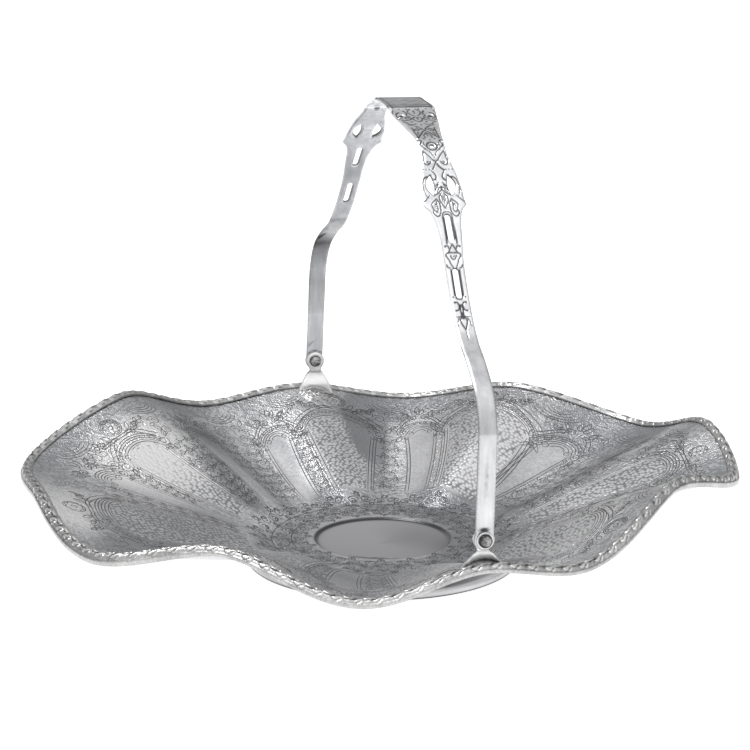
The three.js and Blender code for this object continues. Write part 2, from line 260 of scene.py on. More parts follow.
def add(tree, kind, inputs=(), out=0, **choices):
    """Adds a node, sets its choices and its inputs, and returns one of its outputs. inputs is a list in
    the order of the sockets, or a dictionary, of values and of other nodes' outputs."""
    node = tree.nodes.new(kind)
    for name, value in choices.items():
        setattr(node, name, value)
    for socket, value in inputs.items() if isinstance(inputs, dict) else enumerate(inputs):
        if isinstance(value, bpy.types.NodeSocket):
            tree.links.new(value, node.inputs[socket])
        else:
            node.inputs[socket].default_value = value
    return node.outputs[out]


def metal(name, finish, marks):
    """A material of bare or plated metal. finish gets its node tree, Object coordinates in
    millimetres and the named values of its points, and returns its colour, roughness and normal."""
    material = bpy.data.materials.new(name)
    material.use_nodes = True
    tree = material.node_tree
    shader = tree.nodes["Principled BSDF"]
    shader.inputs["Metallic"].default_value = 1
    where = add(tree, "ShaderNodeTexCoord", out="Object")
    where = add(tree, "ShaderNodeVectorMath", {0: where, "Scale": 1 / MM}, operation="SCALE")
    values = [add(tree, MARK, out="Fac", attribute_name=mark) for mark in marks]
    for socket, value in zip(("Base Color", "Roughness", "Normal"), finish(tree, where, *values)):
        if isinstance(value, bpy.types.NodeSocket):
            tree.links.new(value, shader.inputs[socket])
        else:
            shader.inputs[socket].default_value = value
    return material


# Dish: the rim's highs and lows, as degrees, share of the rim's radius, share of its height there
# and straight across, and how the wall climbs there and across.
RIM_SHARES = [
    (2, 1.051, 1.167, 1.057, 0.75, 0.68), (27, 1.091, 0.779, 0.867, 1.5, 0.85),
    (48, 0.965, 1.057, 1.083, 0.75, 0.7), (72, 1.035, 0.771, 0.783, 1.2, 0.95),
    (92, 0.993, 0.957, 1.038, 0.8, 0.75), (108.5, 0.982, 0.89, 0.888, 1.35, 0.95),
    (136, 0.95, 1.29, 1.319, 0.8, 0.7), (163, 1.07, 0.99, 1.007, 0.75, 0.8),
]
COVE = 0.04  # softens the foot of the wall
BORDER_SEAT = 1.5  # the crest over the dish metal that it covers
BORDER_DROP = 5.3  # the border's fall from its crest to the foot of its rib
WELL_STEP, STEP_SHARE = 1.1, 0.38  # width of the slope round the well, and its share of the depth
WELL_BEAD = 0.2  # height of the bead round the well
PANEL_RELIEF = 0.1  # a panel's edge stands out by this and its ground is sunk by it
KNOCKED_IN, KNOCK_AT, KNOCK_SPREAD = 0.02, 341, 13  # share of the radius, and where it is, in degrees
THINNED, THINNED_FROM, THINNED_TO, THINNED_EASE = 0.3, 216, 324, 14  # share of the border's height, degrees


def rim_at(theta):
    """Crest radius and height in millimetres and the wall's climb, for angles in radians: between the
    table's rows each value follows a smooth step. One place of the rim is knocked in a little."""
    rows = np.array([(a, r, h, c) for a, r, h, _, c, _ in RIM_SHARES]
                    + [(a + 180, r, h, c) for a, r, _, h, _, c in RIM_SHARES])
    first = rows[0, 0]
    angle = (np.degrees(theta) - first) % 360 + first
    low = np.searchsorted(rows[:, 0], angle, side="right") - 1
    high = (low + 1) % len(rows)
    share = ease((angle - rows[low, 0]) / ((rows[high, 0] - rows[low, 0]) % 360))[..., None]
    radius, height, climb = np.moveaxis(rows[low, 1:] * (1 - share) + rows[high, 1:] * share, -1, 0)
    radius = radius * (1 - KNOCKED_IN * bell((angle - KNOCK_AT) / KNOCK_SPREAD))
    dish = settings().dish
    return radius * dish.rim_radius / MM, height * dish.rim_height / MM - BORDER_DROP * thinned(angle), climb


def thinned(angle):
    """By what share the border is lower than elsewhere, for angles in degrees: along the front it was
    pressed over further, and an ease in and out joins it to the rest."""
    inside = np.minimum(angle % 360 - THINNED_FROM, THINNED_TO - angle % 360)
    return THINNED * ease(inside / THINNED_EASE)


# Chased panels of the dish. Each row: degrees of its axis at the top and at the foot, half width in
# millimetres at the top and at the foot, where its sides stop over the floor's edge in the flat
# sheet, and whether it is hammered.
PANELS = [
    (13, 9, 5.2, 3.0, 60, False), (33, 34, 6.4, 2.6, 62, False), (49.5, 43.5, 19.5, 8.0, 63, True),
    (66.3, 61, 6.0, 3.8, 62, False), (86, 88, 15.0, 7.0, 60, True), (102.3, 106.5, 5.6, 3.3, 59, False),
    (124.5, 131, 8.0, 5.0, 60, False), (147.5, 152.5, 9.0, 5.6, 61, True), (161.5, 167, 5.6, 3.2, 60, False),
    (190, 194, 17.0, 7.5, 60, True), (213, 214, 6.4, 3.0, 61, False), (229.5, 226, 15.0, 7.0, 61, True),
    (247, 243, 6.0, 3.6, 61, False), (266, 265, 14.0, 7.0, 60, True), (283, 283, 5.6, 3.3, 60, False),
    (303, 301, 13.0, 6.5, 60, True), (324, 323, 6.4, 3.6, 61, False), (338, 338, 5.0, 2.8, 60, False),
    (353, 350.5, 8.6, 4.4, 64, True),
]
PANEL_FOOT = 12.5  # where the panels start over the floor's edge
ARCH_RISE = (3.2, 0.36)  # height of an arch over its springing: fixed, and share of its half width


def flat_radius(over_floor):
    """Radius in the flat sheet at a distance over the floor's edge, both in millimetres."""
    return settings().dish.floor_radius / MM + over_floor


def panel_share(panel, up):
    """How far up its straight sides a place of a panel is, from 0 at its foot to 1 at the springing."""
    return (up - PANEL_FOOT) / (panel[4] - PANEL_FOOT)


def panel_axis(panel, up):
    """Angle of a panel's axis in radians at a place up it."""
    top, foot, *_ = panel
    return np.radians(foot + (top - foot) * panel_share(panel, up))


def arch_rise(wide):
    """Height of a panel's arch over its springing."""
    return ARCH_RISE[0] + ARCH_RISE[1] * wide


def inside_panel(panel, theta, flat):
    """Distance inside a panel's outline, below 0 outside: to its straight sides and foot, and over
    the springing to a half ellipse."""
    _, _, wide, narrow, spring, _ = panel
    up = flat - flat_radius(0)
    across = ((theta - panel_axis(panel, up) + math.pi) % TURN - math.pi) * flat
    half = narrow + (wide - narrow) * np.clip(panel_share(panel, up), 0, 1.2)
    over = np.maximum(up - spring, 0)
    oval = wide * (1 - np.sqrt((across / wide) ** 2 + (over / arch_rise(wide)) ** 2))
    return np.minimum(np.where(up > spring, oval, half - np.abs(across)), up - PANEL_FOOT)


def inside_panels(theta, flat):
    """How deep each place lies inside the nearest panel, in millimetres."""
    depth = np.full(np.broadcast(theta, flat).shape, -99.0)
    for panel in PANELS:
        depth = np.maximum(depth, inside_panel(panel, theta, flat))
    return depth


# Clouds of tarnish and rubbed places of the dish, together with painted shade on its folds and painted
# highlights on its slopes. Each row: degrees and how far it spreads round, radius in the flat sheet and
# how far it spreads out, and how much lighter it makes the plate.
CLOUDS = [
    (5, 75, 41, 12, -0.5), (215, 90, 41, 12, -0.2), (136, 6, 88, 16, -0.85), (143, 6, 66, 12, -0.7),
    (127, 7, 112, 15, -0.8), (190, 14, 86, 30, -0.4), (148, 16, 110, 24, 1.0), (108, 7, 98, 28, 0.6),
    (101, 4, 96, 16, -0.4), (80, 5, 130, 14, -0.35), (71.5, 2.4, 92, 22, 0.6), (99, 6, 58, 6, -0.7),
    (53, 8, 55, 6, -0.5), (68, 5, 116, 12, 0.4), (62, 8, 88, 22, 0.4), (37, 8, 116, 12, 0.1),
    (46, 12, 132, 9, -0.6), (40, 9, 57, 8, -0.4), (24, 9, 82, 24, 0.4), (4, 9, 80, 24, -0.6),
    (345, 8, 84, 14, 0.4), (352, 8, 128, 10, 0.2), (10, 10, 132, 10, -0.4), (12, 14, 62, 9, -0.4),
    (192, 8, 133, 9, 0.8), (140, 18, 135, 9, -0.7), (206, 14, 118, 14, -0.25), (282, 26, 120, 22, 0.8),
    (328, 28, 36, 14, -0.7), (320, 36, 60, 12, -0.4), (164, 9, 98, 24, 0.3), (165, 20, 42, 9, -0.3),
    (10, 60, 16, 16, -0.45), (44, 5, 84, 26, 0.4), (2, 8, 118, 22, -0.3), (150, 14, 54, 6, 0.5),
    (112, 6, 66, 8, 0.4), (308, 12, 133, 7, -0.5), (114, 6, 128, 8, 0.4),
]
# A painted reflection: the dark part of the room that one lobe of the back wall mirrors, in the plate's
# colour.
PAINTED_DARK_REFLECTION = (74.3, 85.2, 80, 111)  # its sides in degrees, and its foot and middle in the flat sheet


def dish_tarnish_and_painted_light(theta, flat):
    """How much lighter or darker each place is, from tarnish, painted shade and painted highlights: the sum
    of the clouds, each a bell in both ways, less a painted reflection, the dark part of the room that one
    lobe of the back wall mirrors, with a crisp edge on its right."""
    tarnish_and_painted_light = 0.0
    for middle, spread, place, reach, amount in CLOUDS:
        away = (np.degrees(theta) - middle + 180) % 360 - 180
        tarnish_and_painted_light = tarnish_and_painted_light + amount * bell(away / spread, (flat - place) / reach)
    angle = np.degrees(theta) % 360
    right, left = angle - PAINTED_DARK_REFLECTION[0], PAINTED_DARK_REFLECTION[1] - 0.004 * (flat - PAINTED_DARK_REFLECTION[3]) ** 2 - angle
    return tarnish_and_painted_light - 0.85 * ease(right / 0.7) * ease(left / 2.6) * ease((flat - PAINTED_DARK_REFLECTION[2]) / 14)


def dish_top(theta, flat):
    """Upper face of the dish from its angle and its radius in the flat sheet: the radius is stretched
    from the floor's edge to the rim, and the height eases from a cove to the wall's climb. The sunk
    well, a step and a shallow parabola, its bead and the low relief of the panels are added."""
    dish = settings().dish
    floor, well = dish.floor_radius / MM, dish.well_radius / MM
    radius, height, climb = rim_at(theta)
    share = np.clip((flat - floor) / (dish.rim_radius / MM - floor), 0, 1)
    eased = share ** 2 * (1 + COVE) / (share + COVE)
    rise = dish.floor_height / MM + (height - BORDER_SEAT - dish.floor_height / MM) * eased ** climb
    bowl = STEP_SHARE * ease((well + WELL_STEP - flat) / WELL_STEP)
    bowl = bowl + (1 - STEP_SHARE) * np.clip(1 - (flat / well) ** 2, 0, 1)
    rise = rise - dish.well_depth / MM * bowl
    rise = rise + WELL_BEAD * bell((flat - well - 2.6) / 0.9)
    depth = inside_panels(theta, flat)
    fade = ease((74 - flat + floor) / 6)
    rise = rise + fade * (PANEL_RELIEF * bell((depth + 0.7) / 0.9) - PANEL_RELIEF * ease(depth / 1.8))
    reach = np.where(share > 0, floor + share * (radius - floor), flat)
    x, y = reach * np.cos(theta), reach * np.sin(theta)
    rise = rise + 0.1 * ripple(x, y, rise, 23) * ease((flat - well) / 20)
    return np.stack(np.broadcast_arrays(x, y, rise), -1)


def dish_normal(theta, flat):
    """Unit normal of the dish's upper face, from places a little further round and out."""
    small = 0.2
    here = dish_top(theta, flat)
    normal = np.cross(dish_top(theta, flat + small) - here, dish_top(theta + small / flat, flat) - here)
    return here, normal / np.linalg.norm(normal, axis=-1, keepdims=True)


DISH_SIDES = 720  # steps round the dish


def make_dish():
    """The dish: rings of its upper face out to the rim, then its lower face, one sheet lower, back
    to the middle. Each ring has the same angles, and a fan of faces closes each middle."""
    dish, around = settings().dish, DISH_SIDES
    rim = dish.rim_radius / MM
    theta = np.arange(around) * TURN / around
    upper = np.concatenate([np.linspace(2, 26, 9), np.linspace(27.4, 33, 15), np.linspace(34.5, 47, 11),
                            np.linspace(48, rim, 87)])
    lower = np.concatenate([np.linspace(rim, 52, 12), [46, 30, 6]])
    top = dish_top(theta[None, :], upper[:, None])
    under = dish_top(theta[None, :], lower[:, None]) - [0, 0, dish.sheet / MM]
    middle = [[0, 0, top[0, 0, 2]], [0, 0, under[-1, 0, 2]]]
    points = np.vstack([top.reshape(-1, 3), under.reshape(-1, 3), middle])
    rings = len(upper) + len(lower)
    faces = outward(points, capped_rings(rings, around))
    flat = np.concatenate([np.repeat(upper, around), np.repeat(lower, around), [1, 1]])
    angle = np.concatenate([np.tile(theta, rings), [0, 0]])
    is_top = np.arange(len(points)) < len(upper) * around
    is_top[-2] = True
    up, well = flat - flat_radius(0), dish.well_radius / MM
    matted = ease((-inside_panels(angle, flat) - 0.3) / 1.2) * ease((up + 16.5) / 2)
    polish = ease((well + 0.4 - flat) / 0.8)
    # Oxide round the well, painted heavier on the far side as the painted shade of the well's step.
    seam = bell(((flat - well - 0.2) / 1.1) ** 2) * (0.25 + 0.75 * ease((np.sin(angle) + 0.5) / 0.9))
    # A fold that bulges is rubbed bright, and a hollow one keeps its tarnish.
    height = top[..., 2]
    spread = around // 60
    bulge = height - (np.roll(height, spread, 1) + np.roll(height, -spread, 1)) / 2
    worn = np.zeros(len(points))
    worn[:top[..., 0].size] = np.clip(0.5 + bulge / 1.6, 0, 1).ravel()
    # The whole underside takes the rubbed colour: painted light that lightens what the foot's cove mirrors.
    marks = {"matted": matted * is_top, "worn": np.where(is_top, worn, 1.0), "polish": polish * is_top,
             "seam": seam * is_top, "tarnish_and_painted_light": dish_tarnish_and_painted_light(angle, flat) * is_top}
    return make_piece("dish", points, faces, dish_silver(), "basket", marks, ["bowl"])


def dish_silver():
    """Silver plate on brass, chased and tarnished: rubbed light on its folds, dull in the hollows, matted
    with a punch between the panels, and polished like a mirror in the well. Painted shade, highlights and
    reflections come in with the tarnish clouds, in the well's mirror too."""
    dish = settings().dish

    def finish(tree, where, worn, matted, polish, seam, tarnish_and_painted_light):
        # Punched matting, drawn at 0.8 mm so that it shows.
        grain = add(tree, "ShaderNodeTexVoronoi", {"Vector": where, "Scale": 1 / 0.8}, out="Distance")
        grain = add(tree, MATH, (grain, matted), operation="MULTIPLY")
        # Close lines that curl round each other: the sine of a smooth noise has them as its contours.
        swirl = add(tree, NOISE, {"Vector": where, "Scale": 1 / 7, "Detail": 1.0})
        swirl = add(tree, MATH, (add(tree, MATH, (swirl, 34.0), operation="MULTIPLY"),), operation="SINE")
        swirl = add(tree, MATH, (swirl, matted), operation="MULTIPLY")
        cloud = add(tree, NOISE, {"Vector": where, "Scale": 1 / 24, "Detail": 5.0})
        fine = add(tree, NOISE, {"Vector": where, "Scale": 1 / 1.3, "Detail": 3.0, "Roughness": 0.7})
        share = add(tree, MATH, (cloud, 0.8, -0.11), operation="MULTIPLY_ADD")
        share = add(tree, MATH, (worn, 0.55, share), operation="MULTIPLY_ADD")
        share = add(tree, MATH, (share, -0.55), operation="ADD")
        share = add(tree, MATH, (fine, 1.1, share), operation="MULTIPLY_ADD")
        share = add(tree, MATH, (share, tarnish_and_painted_light), operation="ADD")
        share = add(tree, MATH, (swirl, 0.15, share), operation="MULTIPLY_ADD")
        share = add(tree, MATH, (grain, -0.4, share), operation="MULTIPLY_ADD", use_clamp=True)
        base = add(tree, MIX, {0: share, 6: (*dish.tarnish, 1), 7: (*dish.silver, 1)}, 2, data_type="RGBA")
        # The well's mirror is painted lighter and darker with the clouds: a painted reflection.
        light = add(tree, MATH, (tarnish_and_painted_light, 0.8), operation="ADD", use_clamp=True)
        mirror = add(tree, MIX, {0: light, 6: (*srgb("#828285"), 1), 7: (*srgb("#cfcfd2"), 1)}, 2,
                     data_type="RGBA")
        base = add(tree, MIX, {0: polish, 6: base, 7: mirror}, 2, data_type="RGBA")
        base = add(tree, MIX, {0: seam, 6: base, 7: (*dish.chased, 1)}, 2, data_type="RGBA")
        rough = add(tree, MATH, (worn, -0.12, 0.38), operation="MULTIPLY_ADD")
        rough = add(tree, MATH, (grain, 0.16, rough), operation="MULTIPLY_ADD")
        rough = add(tree, MATH, (polish, -0.29, rough), operation="MULTIPLY_ADD")
        dull = add(tree, MATH, (1.0, polish), operation="SUBTRACT")
        pits = add(tree, NOISE, {"Vector": where, "Scale": 1 / 1.1, "Detail": 3.0, "Roughness": 0.6})
        pits = add(tree, MATH, (pits, dull), operation="MULTIPLY")
        relief = add(tree, BUMP, {"Height": pits, "Distance": 0.07 * MM})
        relief = add(tree, BUMP, {"Height": swirl, "Distance": 0.05 * MM, "Normal": relief})
        return base, rough, add(tree, BUMP, {"Height": grain, "Distance": 0.22 * MM, "Normal": relief})

    return metal("chased_silver_plate", finish, ["worn", "matted", "polish", "seam", "tarnish_and_painted_light"])


PEBBLE = 1.8  # millimetres between the hammer's pebbles
PEBBLE_BASE, PEBBLE_HIGH = 0.03, 0.15  # how far their ground stands out of the panel, and they of it
PEBBLE_ROWS, PEBBLE_STRAY = 0.87, 0.6  # pitch of their rows and how far each strays, as shares of that


def pebbles(x, y):
    """Height of hammered pebbles from 0 to 1: a round cap about the nearest of points that lie on a
    lattice of staggered rows, each moved a little."""
    row = np.round(y / (PEBBLE_ROWS * PEBBLE))
    nearest = np.full(np.broadcast(x, y).shape, 99.0)
    for step in (-1, 0, 1):
        line = row + step
        start = (line % 2) * PEBBLE / 2
        column = np.round((x - start) / PEBBLE)
        for shift in (-1, 0, 1):
            spot = column + shift
            seed = np.sin(spot * 127.1 + line * 311.7) * 43758.5453
            away_x = x - start - PEBBLE * (spot + PEBBLE_STRAY * (seed % 1 - 0.5))
            away_y = y - PEBBLE_ROWS * PEBBLE * (line + PEBBLE_STRAY * ((seed * 7) % 1 - 0.5))
            nearest = np.minimum(nearest, np.hypot(away_x, away_y))
    return np.clip(1 - (nearest / (0.54 * PEBBLE)) ** 2, 0, 1) ** 1.1


def make_hammering():
    """The hammered panels: each is a pillow on a grid of its outline, narrowed at every height to the
    width there, whose top carries the pebbles and whose coarse underside lies in the dish metal."""
    pitch, coarse = 0.44, 7  # millimetres between the top's points, and columns of the underside
    points, faces, high, tarnish_and_painted_light_rows = [], [[], []], [], []
    size = 0
    for panel in (panel for panel in PANELS if panel[-1]):
        _, _, wide, narrow, spring, _ = panel
        rise = arch_rise(wide)
        columns, rows = int(2 * wide / pitch), int((spring + rise - PANEL_FOOT) / pitch)
        up = np.linspace(PANEL_FOOT + 0.5, spring + rise - 0.7, rows)[:, None]
        straight = narrow + (wide - narrow) * panel_share(panel, up)
        arch = wide * np.sqrt(np.clip(1 - ((up - spring) / rise) ** 2, 0.01, 1))
        half = np.where(up > spring, arch, straight) - 0.45
        side = np.linspace(-1, 1, columns)[None, :]
        across = side * half
        flat = np.broadcast_to(flat_radius(up), across.shape)
        theta = panel_axis(panel, up) + across / flat
        here, normal = dish_normal(theta, flat)
        cap = pebbles(across + 40, up + 0 * across)
        edge = np.minimum(ease((1 - np.abs(side)) * half / 0.5),
                          ease(np.minimum(up - up[0], up[-1] - up) / 0.5))
        crown = here + normal * ((PEBBLE_BASE + PEBBLE_HIGH * cap) * edge - 0.12 * (1 - edge))[..., None]
        tarnish_and_painted_light = dish_tarnish_and_painted_light(theta, flat)
        few = np.linspace(0, columns - 1, coarse + 2).astype(int)[1:-1]
        under = here[:, few] - normal[:, few] * 0.5
        points += [crown.reshape(-1, 3), under.reshape(-1, 3)]
        high += [(cap * edge).ravel(), np.zeros(under[..., 0].size)]
        tarnish_and_painted_light_rows += [tarnish_and_painted_light.ravel(), np.zeros(under[..., 0].size)]
        faces[0].append(grid_faces(rows, columns) + size)
        # The underside shares the outer points of the top.
        base = size + rows * columns
        ids = np.column_stack([size + np.arange(rows) * columns,
                               base + np.arange(rows * coarse).reshape(rows, coarse),
                               size + np.arange(rows) * columns + columns - 1])
        faces[0].append(np.stack([ids[:-1, :-1], ids[1:, :-1], ids[1:, 1:], ids[:-1, 1:]], -1).reshape(-1, 4))
        for end in (0, rows - 1):
            loop = np.concatenate([size + end * columns + np.arange(columns),
                                   base + end * coarse + np.arange(coarse)[::-1]])
            centre = sum(len(h) for h in high)
            points.append(crown[end, columns // 2][None] - normal[end, columns // 2][None] * 0.2)
            high.append(np.zeros(1))
            tarnish_and_painted_light_rows.append(np.zeros(1))
            ring = np.stack([loop, np.roll(loop, -1), np.full(len(loop), centre)], -1)
            faces[1].append(ring if end else ring[:, ::-1])
        size = sum(len(h) for h in high)
    points = np.vstack(points)
    groups = outward(points, [np.vstack(faces[0]), np.vstack(faces[1])])
    marks = {"pebble": np.concatenate(high), "tarnish_and_painted_light": np.concatenate(tarnish_and_painted_light_rows)}
    return make_piece("hammered_panels", points, groups, hammered_silver(), "basket",
                      marks, sharp=70)


def hammered_silver():
    """Hammered silver plate: bright round pebbles with tarnish left between them, and the painted shade and
    highlights of the clouds.
    """
    dish = settings().dish

    def finish(tree, where, pebble, tarnish_and_painted_light):
        cloud = add(tree, NOISE, {"Vector": where, "Scale": 1 / 7, "Detail": 4.0})
        # The clouds add tarnish together with painted shade and painted highlights.
        share = add(tree, MATH, (tarnish_and_painted_light, -0.42), operation="ADD")
        share = add(tree, MATH, (cloud, 0.7, share), operation="MULTIPLY_ADD")
        share = add(tree, MATH, (pebble, 1.1, share), operation="MULTIPLY_ADD", use_clamp=True)
        base = add(tree, MIX, {0: share, 6: (*srgb("#8e8f92"), 1), 7: (*dish.silver, 1)}, 2, data_type="RGBA")
        fine = add(tree, NOISE, {"Vector": where, "Scale": 1 / 0.9, "Detail": 3.0})
        return base, 0.3, add(tree, BUMP, {"Height": fine, "Distance": 0.04 * MM})

    return metal("hammered_silver_plate", finish, ["pebble", "tarnish_and_painted_light"])


# Chased lines, drawn in the flat sheet in millimetres as (across, up).

CHASED_TO = 88  # where the chasing ends over the floor's edge
LEAF_WIDTH = 0.21  # half width of a leaf as a share of its length


def arc(middle, reach, start, end, count=24):
    """Part of an ellipse: cosine and sine of the angle times its two half widths."""
    angle = np.radians(np.linspace(start, end, count))
    return np.stack([middle[0] + reach[0] * np.cos(angle), middle[1] + reach[1] * np.sin(angle)], -1)


def spiral(middle, start, radius, turns, hand, count):
    """A volute: its radius shrinks to a fifth as its angle turns."""
    share = np.linspace(0, 1, count)
    reach = radius * (1 - 0.82 * share)
    angle = np.radians(start) + hand * TURN * turns * share
    return np.stack([middle[0] + reach * np.cos(angle), middle[1] + reach * np.sin(angle)], -1)


def leaf(foot, direction, size):
    """A leaf from its foot: two bowed sides, sine arches to either hand, that meet at the tip."""
    share = np.concatenate([np.linspace(0, 1, 7), np.linspace(1, 0, 7)[1:]])
    side = np.concatenate([np.ones(7), -np.ones(6)]) * np.sin(math.pi * share ** 0.8) * LEAF_WIDTH * size
    c, s = math.cos(math.radians(direction)), math.sin(math.radians(direction))
    along = share * size
    return np.stack([foot[0] + c * along - s * side, foot[1] + s * along + c * side], -1)


def flower(middle, radius, petals):
    """A rosette: two rings round a wavy ring of petals and an eye."""
    angle = np.linspace(0, TURN, petals * 8 + 1)
    wave = radius * (0.56 + 0.17 * np.abs(np.sin(angle * petals / 2)))
    petal_ring = np.stack([middle[0] + wave * np.cos(angle), middle[1] + wave * np.sin(angle)], -1)
    rings = [arc(middle, (radius * s,) * 2, 0, 360, 26) for s in (1, 0.84)]
    return [*rings, petal_ring, arc(middle, (radius * 0.22,) * 2, 0, 360, 10)]


def scrollwork(low, high, half_at):
    """A climbing stem between two heights: a sine wave with a spiral, a C-scroll and a fan of leaves
    in each of its bends. half_at gives the room to each side at a height."""
    lines, stem, up, hand = [], [], low, 1
    while up < high:
        half = float(half_at(up))
        if half < 1.7:
            up += 2
            continue
        size = min(half, 3.6)
        step = size * 1.75
        x, y = hand * size * 0.18, up + step / 2
        lines.append(spiral((x, y), 180 if hand > 0 else 0, size * 0.6, 1.6, -hand, 17))
        bow = (size * 0.72, size * 0.82)
        lines.append(arc((x + hand * size * 0.25, y), bow, 90 - hand * 130, 90 - hand * 10, 10))
        for turn, long, at in ((-20, 0.95, 0.5), (-62, 0.8, 0.75), (38, 0.9, -0.45), (80, 0.65, -0.7)):
            root = (x + hand * size * at, y + step * (0.2 if at < 0 else 0.05))
            lines.append(leaf(root, 90 + hand * turn, size * long))
        lines.append(spiral((x - hand * size * 0.85, y - step * 0.3), 90, size * 0.3, 1.1, hand, 9))
        stem += [(x - hand * size * 0.75, up), (x - hand * size * 0.8, up + step * 0.6)]
        up, hand = up + step, -hand
    if len(stem) > 2:
        lines.append(smooth_path(stem, 5))
    return lines


def volute(middle, radius, hand, start, turns=1.6):
    """A volute with a leaf that springs from its outside."""
    tip = (middle[0] + hand * radius * 0.9, middle[1] + radius * 0.5)
    return [spiral(middle, start, radius, turns, hand, 18), leaf(tip, 90 - hand * 35, radius * 1.5)]


def panel_lines(panel):
    """Lines of one panel: double sides, rings of arches joined by ticks, volutes at the springing,
    C-scrolls over the arch, and a rosette on a lintel or a fan of leaves at the head."""
    _, _, wide, narrow, spring, hammered = panel
    rise = arch_rise(wide)
    lines = []
    sides = (0, 1.4, 2.6) if hammered else (0, 1.4)
    arches = (0, 1.3, 2.6, 3.9, 5.1) if hammered else (0, 1.3, 2.6, 3.9)
    curl = 3.4 if hammered else 2.4
    for side in (1, -1):
        for off in sides:
            lines.append(np.array([(side * (narrow + off), PANEL_FOOT), (side * (wide + off), spring - 1.6)]))
        lines += volute((side * (wide + curl + 0.4), spring + 0.4), curl, side, 90 + side * 90)
        lines.append(spiral((side * (wide - 1.5), spring + 0.4), 90 - side * 90, 1.9, 1.3, side, 14))
        lines.append(spiral((side * (wide + 1.0), spring - 3.6), 90 + side * 90, 1.2, 1.1, side, 10))
        lines.append(leaf((side * (wide + 3), spring - 2.2), 270 + side * 24, 5.0))
        # C-scroll from the crown down to the volute.
        bow = smooth_path([(side * 2.2, spring + rise + 7.4), (side * 4.2, spring + rise + 8.4),
                           (side * (wide * 0.55 + 4.4), spring + rise + 5.2),
                           (side * (wide + 4.4), spring + rise * 0.45 + 3.8),
                           (side * (wide + 6), spring + 5.4)], 6)
        lines += [bow, bow * [0.86, 1] + [0, -1.3]]
        lines += volute((side * (wide * 0.62 + 4.2), spring + rise + 8.6), 2.3, side, 200)
        lines.append(leaf((side * (wide * 0.4 + 2), spring + rise + 5), 90 - side * 30, 4.6))
    for off in arches:
        lines.append(arc((0, spring), (wide + off * 0.9, rise + off), 6, 174, 26))
    for off in (1.5, 3.0):
        lines.append(arc((0, spring + 0.5), (wide - off * 1.2, rise - off), 10, 170, 18))
    angle = np.linspace(14, 166, max(9, int(wide * 1.6)))
    low, high = (arc((0, spring), (wide + off * 0.9, rise + off), 14, 166, len(angle)) for off in (2.7, 3.8))
    lines += [np.array([a, (a + b) / 2, b]) for a, b in zip(low, high)]
    top = spring + rise + 6.6
    if hammered:
        span = min(wide * 1.1 + 2, 13)
        for off in (0, 1.3):
            lines.append(np.array([(-span, top + off), (span, top + off)]))
        for side in (1, -1):
            lines += volute((side * (span + 1.8), top + 2.2), 2.0, side, 270, 1.3)
            lines.append(leaf((side * span * 0.45, top + 2), 90 - side * 35, 4.6))
            lines.append(leaf((side * span * 0.75, top + 2), 90 - side * 62, 4.0))
        rose = min(5.0, (CHASED_TO - top - 2) / 2)
        lines += flower((0, top + 2.2 + rose), rose, 8)
    else:
        for side in (1, -1):
            lines += volute((side * 2.8, top + 1.2), 2.3, side, 90 - side * 90, 1.4)
            lines.append(leaf((side * 1, top + 3.4), 90 - side * 18, 5.2))
            lines.append(leaf((side * 4.2, top + 2.8), 90 - side * 52, 4.6))
        lines.append(leaf((0, top + 4), 90, 6))
    return lines


def between(panel, other):
    """Room between two neighbouring panels as functions of height: half of it in millimetres, and
    the angle of its middle."""
    def edges(up):
        out = []
        for row, hand in ((panel, 1), (other, -1)):
            half = row[3] + (row[2] - row[3]) * min(panel_share(row, up), 1) + 2.4
            out.append(panel_axis(row, up) + hand * half / flat_radius(up))
        if out[1] < out[0] - math.pi:
            out[1] += TURN
        return out

    return (lambda up: (edges(up)[1] - edges(up)[0]) / 2 * flat_radius(up)), (lambda up: sum(edges(up)) / 2)


def on_panel(panel, line):
    """A panel's line from (across, up) to (angle, radius in the flat sheet)."""
    if len(line) == 2:
        long = np.linalg.norm(line[1] - line[0])
        line = line[0] + (line[1] - line[0]) * np.linspace(0, 1, max(3, int(long / 2)))[:, None]
    return about(panel_axis(panel, line[:, 1]), line)


def about(centre, line):
    """A line from (across, up) about the angle centre to (angle, radius in the flat sheet)."""
    return np.stack([centre + line[:, 0] / flat_radius(line[:, 1]), flat_radius(line[:, 1])], -1)


def strip_lines(panel, other):
    """Chasing between two neighbouring panels: climbing scrolls, a spray over them and swags that
    hang from the rim, circles about a point just under it."""
    made = []
    half, middle = between(panel, other)
    columns = (-0.5, 0.5) if half(50) > 9 else (0,)
    for column in columns:
        def room(up):
            return half(up) * (0.5 if len(columns) > 1 else 0.98)
        for line in scrollwork(PANEL_FOOT + 0.5, 57, room):
            centre = [middle(up) + column * half(up) * 1.04 / flat_radius(up) for up in line[:, 1]]
            made.append(about(np.array(centre), line))
    centre, wide = middle(74), half(60)
    for up, size in ((66, 2.8), (73.5, 3.2)):
        if wide < 3:
            break
        for side in (1, -1):
            at = (side * min(wide, 6.5) * 0.62, up)
            tip = (at[0] + side * size * 0.7, up - size * 0.4)
            for line in (*volute(at, size, side, 90 - side * 90), leaf(tip, 90 - side * 100, size * 1.2)):
                made.append(about(centre, line))
    for swag in range(4):
        reach = 4.2 + swag * 1.5
        made.append(about(centre, arc((0, CHASED_TO - 1), (reach * 1.25, reach), 198, 342, 18)))
    made.append(about(centre, leaf((0, 80), 270, 5.5)))
    return made


